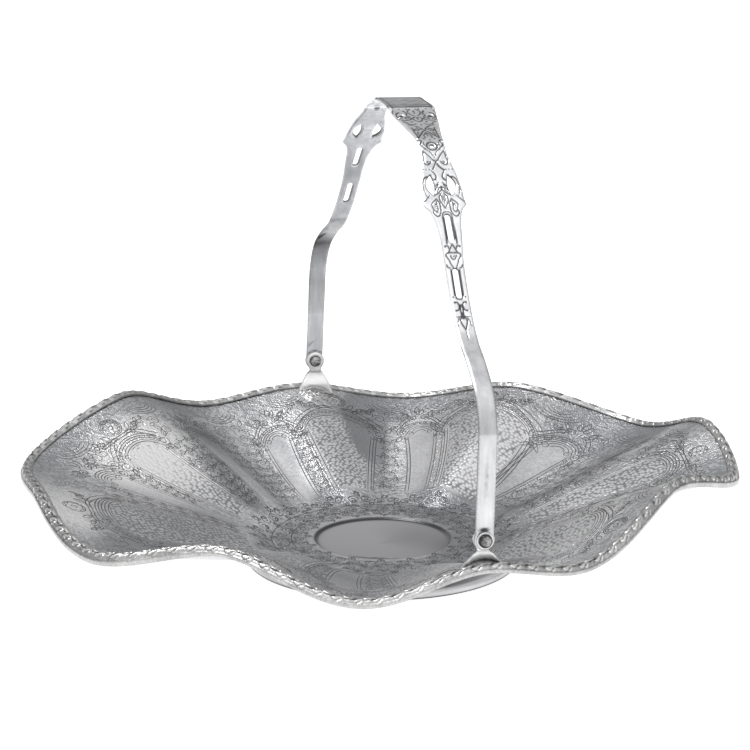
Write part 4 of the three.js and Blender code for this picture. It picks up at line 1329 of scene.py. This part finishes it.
# The handle's inner face: millimetres before the rivet, and how bright it is there. Its bands are partly
# rubbed wear and partly painted shade and painted reflection of its bends.
INNER_BANDS = [
    (-130, 1.2), (-97, 1.2), (-93, 0.62), (-89, 0.74), (-80, 0.61), (-75, 0.68), (-61, 0.18), (-55, 0.6),
    (-44, 0.95), (-38, 0.62), (-23, 0.9), (-22, 1.15), (-13, 1.2), (-11, 1.02), (0, 0.95),
]


def strap_wear(points, edge, bright):
    """How bright and how dull the strap's outer face and then its inner face are, bells of oxide, grime and
    painted shade taken from each. The plain part is duller outside: it is painted darker towards the bend
    over the rivet as shade, and has a smear under it and a painted shadow with grime over the washer. The
    inner face is duller at the head and has bands of rubbed wear and of painted shade and reflection where
    the strap was bent, with two smudges, a scratch and a painted shadow with grime round the lug's eye.
    Painted shade with grime outlines the openings and, fainter, the cut sides."""
    x, s = points.T
    before = strap_path()[0][-1] - s
    plain = ease((s - PLAIN_FROM) / 8)
    # Painted shade darkens the outer face towards the bend over the rivet.
    bend = np.where(before > BEND, ease((60 - before) / 16), 0) + bell((before - 42.5) / 0.5)
    smear = bell((x + 0.2) / 0.8, (before - 24) / 8) * (0.7 + 0.5 * ripple(x, s, 0, 3.0))
    # Painted shadow, with grime, over the washer.
    spot = bell((x + 0.3) / 1.7, (before - 4.2) / 0.7)
    outer = bright - plain * (0.28 + 0.18 * bend + 0.36 * smear) - 1.4 * spot
    smudge = bell((x + 3.5 - 0.19 * (before - 66)) / 0.6, ((before - 70) / 4.2) ** 2)
    smudge = smudge + 0.6 * bell((x + 2.2 - 1.1 * (before - 8)) / 0.8, ((before - 8) / 1.5) ** 2)
    # Painted shadow, with grime, round the lug's eye, and a line across.
    dirt_and_shadow = bell((np.hypot(x, before) - 4.65) / 0.35) + 0.25 * bell((before - 19.7) / 0.3)
    inner = np.interp(-before, *zip(*INNER_BANDS)) - 0.22 * ease((26 - s) / 10) - 0.8 * (smudge + dirt_and_shadow)
    loops = [np.vstack([loop, loop[:1]]) for loop in strap_holes()]
    holes = np.min([stroke_distance(points, loop, np.zeros(len(loop))) for loop in loops], axis=0)
    # Painted shade, with grime, along the openings and the cut sides.
    grime_and_shade = 0.34 * (1 - ease(edge / 0.4)) + 0.6 * (1 - ease(holes / 0.4))
    dull = 0.04 + 0.16 * ease((s - 60) / 20) + 0.2 * bell(((before - 104) / 9) ** 2)
    return np.clip(np.concatenate([outer - grime_and_shade, inner - grime_and_shade]), 0, 1), np.concatenate([0.06 * plain, dull])


def make_handle():
    """The handle: the flat arm's mesh bent along the strap's path, outer face with its stamped lines,
    inner face plain, edges rounded, and the same turned round for the other arm."""
    points, triangles, edge = flat_strap()
    size = len(points)
    half = settings().handle.thickness / MM / 2
    height, bright = strap_relief(points, edge)
    soft = 0.4 * (1 - ease(edge / 0.95)) ** 2
    dents = 0.07 * ripple(points[:, 0], points[:, 1], 0, 17)
    outer = on_strap(points[:, 0], points[:, 1], half + height - soft + dents)
    inner = on_strap(points[:, 0], points[:, 1], -half + soft + dents)
    seam = points[:, 1] < 1e-4
    walls = sheet_walls(points, triangles, seam)
    arm = np.vstack([outer, inner])
    pieces = np.vstack([arm, (arm - PIVOT) * [1, -1, 1] + PIVOT])
    sheets = np.vstack([triangles, triangles[:, ::-1] + size])
    bright, rough = strap_wear(points, edge, bright)
    # The two arms share the points of the seam.
    link = np.arange(len(pieces))
    shared = np.flatnonzero(np.concatenate([seam, seam]))
    link[shared + 2 * size] = shared
    faces = outward(pieces, [link[np.vstack([sheets, sheets[:, ::-1] + 2 * size])],
                             link[np.vstack([walls, walls[:, ::-1] + 2 * size])]])
    used = np.unique(np.concatenate([group.ravel() for group in faces]))
    renumber = np.zeros(len(pieces), int)
    renumber[used] = np.arange(len(used))
    # The relief mark carries the oxide and grime, and the painted shade and reflection of the strap.
    marks = {"relief": np.tile(bright, 2)[used], "dull": np.tile(rough, 2)[used]}
    return make_piece("strap_handle", pieces[used], [renumber[group] for group in faces], handle_silver(),
                      "handle", marks, ["handle"], sharp=50)


def handle_silver():
    """Stamped and polished silver plate: near white, oxide in the grooves, fine polishing lines and
    a few grey smears, with the painted shade and reflection that the relief mark brings."""
    handle = settings().handle

    def finish(tree, where, relief, dull):
        cloud = add(tree, NOISE, {"Vector": where, "Scale": 1 / 8, "Detail": 4.0})
        smear = add(tree, "ShaderNodeMapping", {"Vector": where, "Scale": (0.35, 0.35, 0.07)})
        smear = add(tree, NOISE, {"Vector": smear, "Scale": 1.0, "Detail": 2.0})
        smear = add(tree, MATH, (smear, -2.4, 1.75), operation="MULTIPLY_ADD", use_clamp=True)
        smear = add(tree, MATH, (smear, 0.24, 0.76), operation="MULTIPLY_ADD")
        share = add(tree, MATH, (relief, -0.14), operation="ADD")
        share = add(tree, MATH, (cloud, 0.24, share), operation="MULTIPLY_ADD")
        share = add(tree, MATH, (share, smear), operation="MULTIPLY", use_clamp=True)
        base = add(tree, MIX, {0: share, 6: (*handle.tarnish, 1), 7: (*handle.silver, 1)}, 2,
                   data_type="RGBA")
        dull = add(tree, MATH, (dull, 0.42), operation="ADD")
        rough = add(tree, MATH, (relief, -0.2, dull), operation="MULTIPLY_ADD")
        lines = add(tree, "ShaderNodeMapping", {"Vector": where, "Scale": (3.0, 0.12, 0.12)})
        lines = add(tree, NOISE, {"Vector": lines, "Scale": 1.0, "Detail": 2.0})
        return base, rough, add(tree, BUMP, {"Height": lines, "Distance": 0.02 * MM})

    return metal("polished_silver_plate", finish, ["relief", "dull"])


# Fittings

FITTING_SIDES = 48  # steps round a rivet or a washer
SHANK = 1.5  # radius of a rivet between its ends
WASHER_NEAR, WASHER_FAR, HEAD_NEAR = 0.3, 1.0, 1.3  # how far they stand off the strap's outer face
TAIL_OFF = 2.0  # where the tail starts, behind the strap's inner face


def round_fitting(profile, side):
    """A small turned part on the rivets' line: radius and distance out from the basket's middle."""
    points, faces = lathe(profile, FITTING_SIDES)
    return points[:, [0, 2, 1]] * [1, side, 1] + [PIVOT[0], 0, PIVOT[2]], faces


def make_rivets():
    """Rivets and washers: each profile is turned round the rivets' line. A ring is cut in the domed
    head, and the tail is peened flat and a little uneven."""
    handle = settings().handle
    face = (handle.half_span + handle.thickness / 2) / MM
    tail = face - handle.thickness / MM - TAIL_OFF
    made = []
    for name, side in (("back", 1), ("front", -1)):
        head = face + HEAD_NEAR
        dome = [(2.75, 0), (2.75, 0.4), (2.6, 0.75), (2.2, 1.0), (2.05, 0.92), (1.9, 1.12), (1.4, 1.42),
                (0.7, 1.62), (0.02, 1.7)]
        peen = [(0.02, 1.3), (0.8, 1.24), (1.5, 1.12), (2.1, 0.9), (2.5, 0.55), (2.6, 0.2), (2.6, 0)]
        profile = [*((r, tail - o) for r, o in peen), (SHANK, tail), (SHANK, head),
                   *((r, head + o) for r, o in dome)]
        points, faces = round_fitting(profile, side)
        points = points + 0.05 * ripple(*points.T, 2.6)[:, None] * [1, 0, 1]
        rubbed_and_shaded = np.tile([1 - ease((r - 2.0) / 0.3) for r, _ in profile], FITTING_SIDES)
        if side < 0:  # the front dome is dark on its left
            # Painted shade on the left of the front dome.
            rubbed_and_shaded = rubbed_and_shaded * (0.3 + 0.7 * ease((points[:, 0] - PIVOT[0] + 0.9) / 1.8))
        made.append(make_piece(f"rivet_{name}_dressed", points, outward(points, faces), rivet_metal(),
                               "basket", {"rubbed_and_shaded": rubbed_and_shaded}, [f"rivet_{name}"]))
        near, far = face + WASHER_NEAR, face + WASHER_FAR
        ring = [(1.8, near), (3.4, near), (3.6, near + 0.15), (3.6, far - 0.2), (3.4, far), (1.95, far),
                (1.8, far - 0.1)]
        points, faces = round_fitting(ring, side)
        edge = np.tile([0.2, 0.5, 0.25, 0.25, 0.5, 0.95, 0.1], FITTING_SIDES)
        made.append(make_piece(f"washer_{name}_dressed", points, outward(points, faces), lug_silver(),
                               "basket", {"edge": edge}, [f"washer_{name}"]))
    return made


def rivet_metal():
    """Brass rivet with worn plate: grey, speckled by the peening hammer, with grime round its edge and
    painted shade on the left of the front dome.
    """
    def finish(tree, where, rubbed_and_shaded):
        cloud = add(tree, NOISE, {"Vector": where, "Scale": 1 / 1.1, "Detail": 4.0})
        share = add(tree, MATH, (cloud, 2.4, -0.6), operation="MULTIPLY_ADD", use_clamp=True)
        share = add(tree, MATH, (share, rubbed_and_shaded), operation="MULTIPLY")
        base = add(tree, MIX, {0: share, 6: (*srgb("#39393a"), 1), 7: (*srgb("#d0cecc"), 1)}, 2,
                   data_type="RGBA")
        fine = add(tree, NOISE, {"Vector": where, "Scale": 1 / 0.9, "Detail": 3.0})
        return base, 0.34, add(tree, BUMP, {"Height": fine, "Distance": 0.16 * MM})

    return metal("worn_rivet", finish, ["rubbed_and_shaded"])


def lug_silver():
    """Cast silver plate, soldered on: light, with oxide along its edges, painted shadow along the lugs'
    arches and under their eyes, and faint clouds.
    """
    def finish(tree, where, edge):
        cloud = add(tree, NOISE, {"Vector": where, "Scale": 1 / 2.4, "Detail": 4.0})
        share = add(tree, MATH, (edge, -0.1), operation="ADD")
        share = add(tree, MATH, (cloud, 0.5, share), operation="MULTIPLY_ADD", use_clamp=True)
        base = add(tree, MIX, {0: share, 6: (*srgb("#58585a"), 1), 7: (*srgb("#f6f6f6"), 1)}, 2,
                   data_type="RGBA")
        fine = add(tree, NOISE, {"Vector": where, "Scale": 1 / 1.1, "Detail": 4.0})
        return base, 0.46, add(tree, BUMP, {"Height": fine, "Distance": 0.1 * MM})

    return metal("cast_silver_plate", finish, ["edge"])


LUGS = [("back", 1, 8.2), ("front", -1, 9.2)]  # name, side and half width of the foot
LUG_FACE, LUG_PLATE = 138.4, 1.4  # outer face from the basket's middle, and thickness
LUG_EYE, LUG_HOLE, LUG_NECK = 4.2, 1.7, 2.6  # radii of the eye and its hole, half width of the neck
LUG_FLARE = -4.6  # where the flare starts, under the rivets' line


def make_lugs():
    """Lugs: a cut plate of a round eye, a neck and a flared foot whose lower edge follows the dish and
    arches over it in the middle. The foot leans inwards, and solder holds it."""
    made = []
    for name, side, foot in LUGS:
        across = np.linspace(-1, 1, 25) * foot
        seat = dish_at(PIVOT[0] + across, side * (LUG_FACE - 1.6) + 0 * across)[:, 2] - 0.25 - PIVOT[2]
        arch = 1.5 * np.clip(1 - (across / (0.62 * foot)) ** 2, 0, 1) ** 0.7
        low = np.stack([across, seat + arch], -1)
        t = np.linspace(0, 1, 12)[:, None]
        flare = LUG_NECK + (foot - LUG_NECK) * t ** (0.88 - 0.12 * side)
        sides = [np.hstack([hand * flare, LUG_FLARE + (seat[at] + 1.0 - LUG_FLARE) * t])
                 for hand, at in ((1, -1), (-1, 0))]
        eye = arc((0, 0), (LUG_EYE,) * 2, -50, 230, 40)
        outline = np.vstack([eye, sides[1], low, sides[0][::-1]])
        hole = arc((0, 0), (LUG_HOLE,) * 2, 0, 345, 20)
        grid = np.stack(np.meshgrid(np.arange(-10, 10.1, 0.5), np.arange(-16, 4.6, 0.5)), -1).reshape(-1, 2)
        points, triangles, edge = cut_sheet(outline, [hole], grid)
        soft = 0.34 * (1 - ease(edge / 0.8)) ** 2
        lean = 1.5 * ease((-5.5 - points[:, 1]) / 6) + 0.08 * ripple(points[:, 0], points[:, 1], 0, 5)
        sheets = []
        for face, off in ((LUG_FACE, -soft), (LUG_FACE - LUG_PLATE, soft)):
            sheets.append(np.stack([PIVOT[0] + points[:, 0], side * (face + off - lean),
                                    PIVOT[2] + points[:, 1]], -1))
        size = len(points)
        everything = np.vstack(sheets)
        faces = outward(everything, [np.vstack([triangles, triangles[:, ::-1] + size]),
                                     sheet_walls(points, triangles)])
        # Painted shadow with oxide lies along the arch, over the solder, and painted shadow under the eye.
        # The front foot is darker, painted shade of its hollow.
        over = points[:, 1] - np.interp(points[:, 0], across, seat + arch) - 1.7
        band = 0.6 * bell(over / 0.8) * ease((foot - 1 - np.abs(points[:, 0])) / 2)
        if side < 0:
            band = band + 0.5 * ease((-5.2 - points[:, 1]) / 1.2) * ease((edge - 0.4) / 0.5)
        band = band + 0.7 * bell((points[:, 1] + 5.0) / 0.6)
        marks = {"edge": np.tile(0.35 + 0.65 * ease(edge / 0.7) - band, 2)}
        made.append(make_piece(f"lug_{name}_dressed", everything, faces, lug_silver(), "basket",
                               marks, [f"lug_{name}"], sharp=50))
        made.append(make_solder(name, side))
    return made


def dish_at(x, y):
    """The dish's upper face over places of the plan."""
    theta = np.arctan2(y, x)
    radius, _, _ = rim_at(theta)
    floor, rim = settings().dish.floor_radius / MM, settings().dish.rim_radius / MM
    return dish_top(theta, floor + (np.hypot(x, y) - floor) / (radius - floor) * (rim - floor))


SOLDER_ASIDE, SOLDER_OUT = 2.2, 132.6  # middle of the patch beside the rivet and from the basket's middle
SOLDER_LONG, SOLDER_WIDE, SOLDER_HIGH = 6.6, 4.6, 1.1  # half length, half width and height


def make_solder(name, side):
    """A patch of solder: a low dome over an oval, lumpy from two sizes of ripple, laid on the dish."""
    rings, around = 22, 72
    share = np.linspace(0, 1, rings + 1)[1:, None]
    angle = (np.arange(around) * TURN / around)[None, :]
    ragged = 1 + 0.13 * np.sin(angle * 3 + side) + 0.08 * np.sin(angle * 7 + 2) + 0.05 * np.sin(angle * 13)
    x = PIVOT[0] - SOLDER_ASIDE * side + SOLDER_LONG * share * ragged * np.cos(angle)
    y = side * (SOLDER_OUT + SOLDER_WIDE * share * ragged * np.sin(angle))
    low = dish_at(x, y)
    lumps = (0.42 * ripple(x, y, 0, 2.3) + 0.34 * ripple(y, x, 0, 1.5) + 0.1) * (1 - share ** 4)
    top = low + np.stack([0 * x, 0 * x, np.maximum(SOLDER_HIGH * (1 - share ** 3) + lumps, 0.02)], -1)
    base = low[-1] - [0, 0, 0.4]
    points = np.vstack([top.reshape(-1, 3), base, [top[0].mean(0)], [base.mean(0)]])
    faces = outward(points, capped_rings(rings + 1, around))
    high = np.concatenate([np.clip(0.5 + lumps * 0.9, 0, 1).ravel(), np.zeros(around), [0.5, 0]])
    return make_piece(f"solder_{name}", points, faces, soft_solder(), "basket",
                      {"lump": high}, sharp=70)


def soft_solder():
    """Soft solder, left rough: bright lumps with dark pits between them."""
    def finish(tree, where, lump):
        lump = add(tree, MATH, (lump, -0.8), operation="ADD")
        speck = add(tree, NOISE, {"Vector": where, "Scale": 1 / 0.9, "Detail": 3.0, "Roughness": 0.7})
        share = add(tree, MATH, (speck, 1.4, lump), operation="MULTIPLY_ADD", use_clamp=True)
        base = add(tree, MIX, {0: share, 6: (*srgb("#4f5052"), 1), 7: (*srgb("#eeeeee"), 1)}, 2,
                   data_type="RGBA")
        return base, 0.3, add(tree, BUMP, {"Height": speck, "Distance": 0.2 * MM})

    return metal("soft_solder", finish, ["lump"])


# Stage

# The camera's place, as the photograph's outlines give it: degrees, millimetres and pixels.
CAMERA_TURN, CAMERA_RISE, CAMERA_ROLL = -14.75, 15.25, 0.24
CAMERA_DISTANCE, CAMERA_FOCAL, FRAME = 1493.5, 3511.8, 750
LOOK_AT, LOOK_RIGHT, LOOK_UP = (0, 0, 65.4), -3.59, 15.0
SUN_FROM, SUN_WIDTH = (-0.8, 0.3, 2.2), 24  # direction, and width in degrees
ROOM_DIM, ROOM_FRONT, ROOM_HIGH = 0.4, 0.62, 0.52  # behind the basket, and added in front and overhead


def make_camera():
    """The camera at the photograph's place, turned to a point beside the basket's middle."""
    azimuth, elevation, roll = (math.radians(a) for a in (CAMERA_TURN, CAMERA_RISE, CAMERA_ROLL))
    level = math.cos(elevation)
    back = Vector((math.sin(azimuth) * level, -math.cos(azimuth) * level, math.sin(elevation)))
    right = Vector((math.cos(azimuth), math.sin(azimuth), 0))
    up = back.cross(right)
    target = Vector(LOOK_AT) + LOOK_RIGHT * right + LOOK_UP * up
    lens = bpy.data.cameras.new("camera")
    lens.sensor_width, lens.lens = 36, 36 * CAMERA_FOCAL / FRAME
    lens.clip_start, lens.clip_end = 0.05, 60
    camera = put("camera", lens)
    turned_right = math.cos(roll) * right + math.sin(roll) * up
    turned_up = back.cross(turned_right)
    camera.matrix_world = Matrix((turned_right, turned_up, back)).transposed().to_4x4()
    camera.location = (target + CAMERA_DISTANCE * back) * MM
    bpy.context.scene.camera = camera


def make_stage():
    """A wide pale floor just under the foot, a large soft sun from the upper left, and a room that is
    dim behind the basket, lighter overhead and lightest behind the camera."""
    stage = settings().stage
    far, low = 9000, -0.02
    points = np.array([(-far, -far, low), (far, -far, low), (far, far, low), (-far, far, low)])
    mesh = bpy.data.meshes.new("floor")
    mesh.from_pydata((points * MM).tolist(), [], [(0, 1, 2, 3)])
    floor = put("floor", mesh)
    paper = bpy.data.materials.new("pale_paper")
    paper.use_nodes = True
    shader = paper.node_tree.nodes["Principled BSDF"]
    shader.inputs["Base Color"].default_value = (*stage.floor, 1)
    shader.inputs["Roughness"].default_value = 0.9
    shader.inputs["Specular IOR Level"].default_value = 0.1
    shader.inputs["Emission Color"].default_value = (1, 1, 1, 1)
    shader.inputs["Emission Strength"].default_value = stage.glow
    mesh.materials.append(paper)

    world = bpy.data.worlds.new("studio")
    bpy.context.scene.world = world
    world.use_nodes = True
    tree = world.node_tree
    sides = add(tree, "ShaderNodeSeparateXYZ", (add(tree, "ShaderNodeTexCoord", out="Generated"),)).node
    high = add(tree, MATH, (sides.outputs["Z"], 0.0), operation="MAXIMUM")
    high = add(tree, MATH, (high, 1.4), operation="POWER")
    front = add(tree, MATH, (sides.outputs["Y"], -1.1, 0.1), operation="MULTIPLY_ADD", use_clamp=True)
    bright = add(tree, MATH, (front, ROOM_FRONT, ROOM_DIM), operation="MULTIPLY_ADD")
    bright = add(tree, MATH, (high, ROOM_HIGH, bright), operation="MULTIPLY_ADD")
    backdrop = tree.nodes["Background"]
    tree.links.new(bright, backdrop.inputs["Color"])
    backdrop.inputs["Strength"].default_value = stage.sky

    key = bpy.data.lights.new("key", "SUN")
    key.energy, key.angle = stage.key, math.radians(SUN_WIDTH)
    lamp = put("key", key)
    lamp.location = SUN_FROM
    lamp.rotation_euler = (-lamp.location).to_track_quat("-Z", "Y").to_euler()
    bpy.context.scene.view_settings.view_transform = "Standard"
    make_camera()


class BuildPieces:
    """What the operators share: each runs its build function."""

    def execute(self, context):
        self.build()
        return {"FINISHED"}


class BASKET_OT_dish(BuildPieces, bpy.types.Operator):
    """Make the fluted dish"""
    bl_idname = "basket.dish"
    bl_label = "Dish"
    build = staticmethod(make_dish)


class BASKET_OT_chasing(BuildPieces, bpy.types.Operator):
    """Make the chased lines of the dish"""
    bl_idname = "basket.chasing"
    bl_label = "Chasing"
    build = staticmethod(make_chasing)


class BASKET_OT_hammering(BuildPieces, bpy.types.Operator):
    """Make the hammered panels of the dish"""
    bl_idname = "basket.hammering"
    bl_label = "Hammering"
    build = staticmethod(make_hammering)


class BASKET_OT_border(BuildPieces, bpy.types.Operator):
    """Make the relief border"""
    bl_idname = "basket.border"
    bl_label = "Border"
    build = staticmethod(make_border)


class BASKET_OT_foot(BuildPieces, bpy.types.Operator):
    """Make the spreading foot"""
    bl_idname = "basket.foot"
    bl_label = "Foot"
    build = staticmethod(make_foot)


class BASKET_OT_handle(BuildPieces, bpy.types.Operator):
    """Make the pierced strap handle"""
    bl_idname = "basket.handle"
    bl_label = "Handle"
    build = staticmethod(make_handle)


class BASKET_OT_lugs(BuildPieces, bpy.types.Operator):
    """Make the lugs and their solder"""
    bl_idname = "basket.lugs"
    bl_label = "Lugs"
    build = staticmethod(make_lugs)


class BASKET_OT_rivets(BuildPieces, bpy.types.Operator):
    """Make the rivets and washers"""
    bl_idname = "basket.rivets"
    bl_label = "Rivets"
    build = staticmethod(make_rivets)


class BASKET_OT_stage(BuildPieces, bpy.types.Operator):
    """Make the floor, the lights and the camera"""
    bl_idname = "basket.stage"
    bl_label = "Stage"
    build = staticmethod(make_stage)


OPERATORS = [BASKET_OT_stage, BASKET_OT_dish, BASKET_OT_hammering, BASKET_OT_chasing, BASKET_OT_border,
             BASKET_OT_foot, BASKET_OT_handle, BASKET_OT_lugs, BASKET_OT_rivets]


class BASKET_PT_panel(bpy.types.Panel):
    """Sizes, colours and makers of the basket"""
    bl_label = "Handled Basket"
    bl_idname = "BASKET_PT_panel"
    bl_space_type = "VIEW_3D"
    bl_region_type = "UI"
    bl_category = "Basket"

    def draw(self, context):
        for group in ("dish", "border", "handle", "foot", "stage"):
            box = self.layout.box()
            box.label(text=group.capitalize())
            values = getattr(settings(), group)
            for name in values.__annotations__:
                box.prop(values, name)
        for operator in OPERATORS:
            self.layout.operator(operator.bl_idname)


CLASSES = [BasketDish, BasketBorder, BasketHandle, BasketFoot, BasketStage, BasketSettings, *OPERATORS,
           BASKET_PT_panel]


def register():
    """Makes the settings, the operators and the panel known."""
    for cls in CLASSES:
        bpy.utils.register_class(cls)
    bpy.types.Scene.basket = PointerProperty(type=BasketSettings)


def unregister():
    """Takes them back."""
    del bpy.types.Scene.basket
    for cls in reversed(CLASSES):
        bpy.utils.unregister_class(cls)


def main():
    """Builds the stage and every piece."""
    register()
    for operator in OPERATORS:
        getattr(bpy.ops.basket, operator.bl_idname.split(".")[1])()


if __name__ == "__main__":
    main()
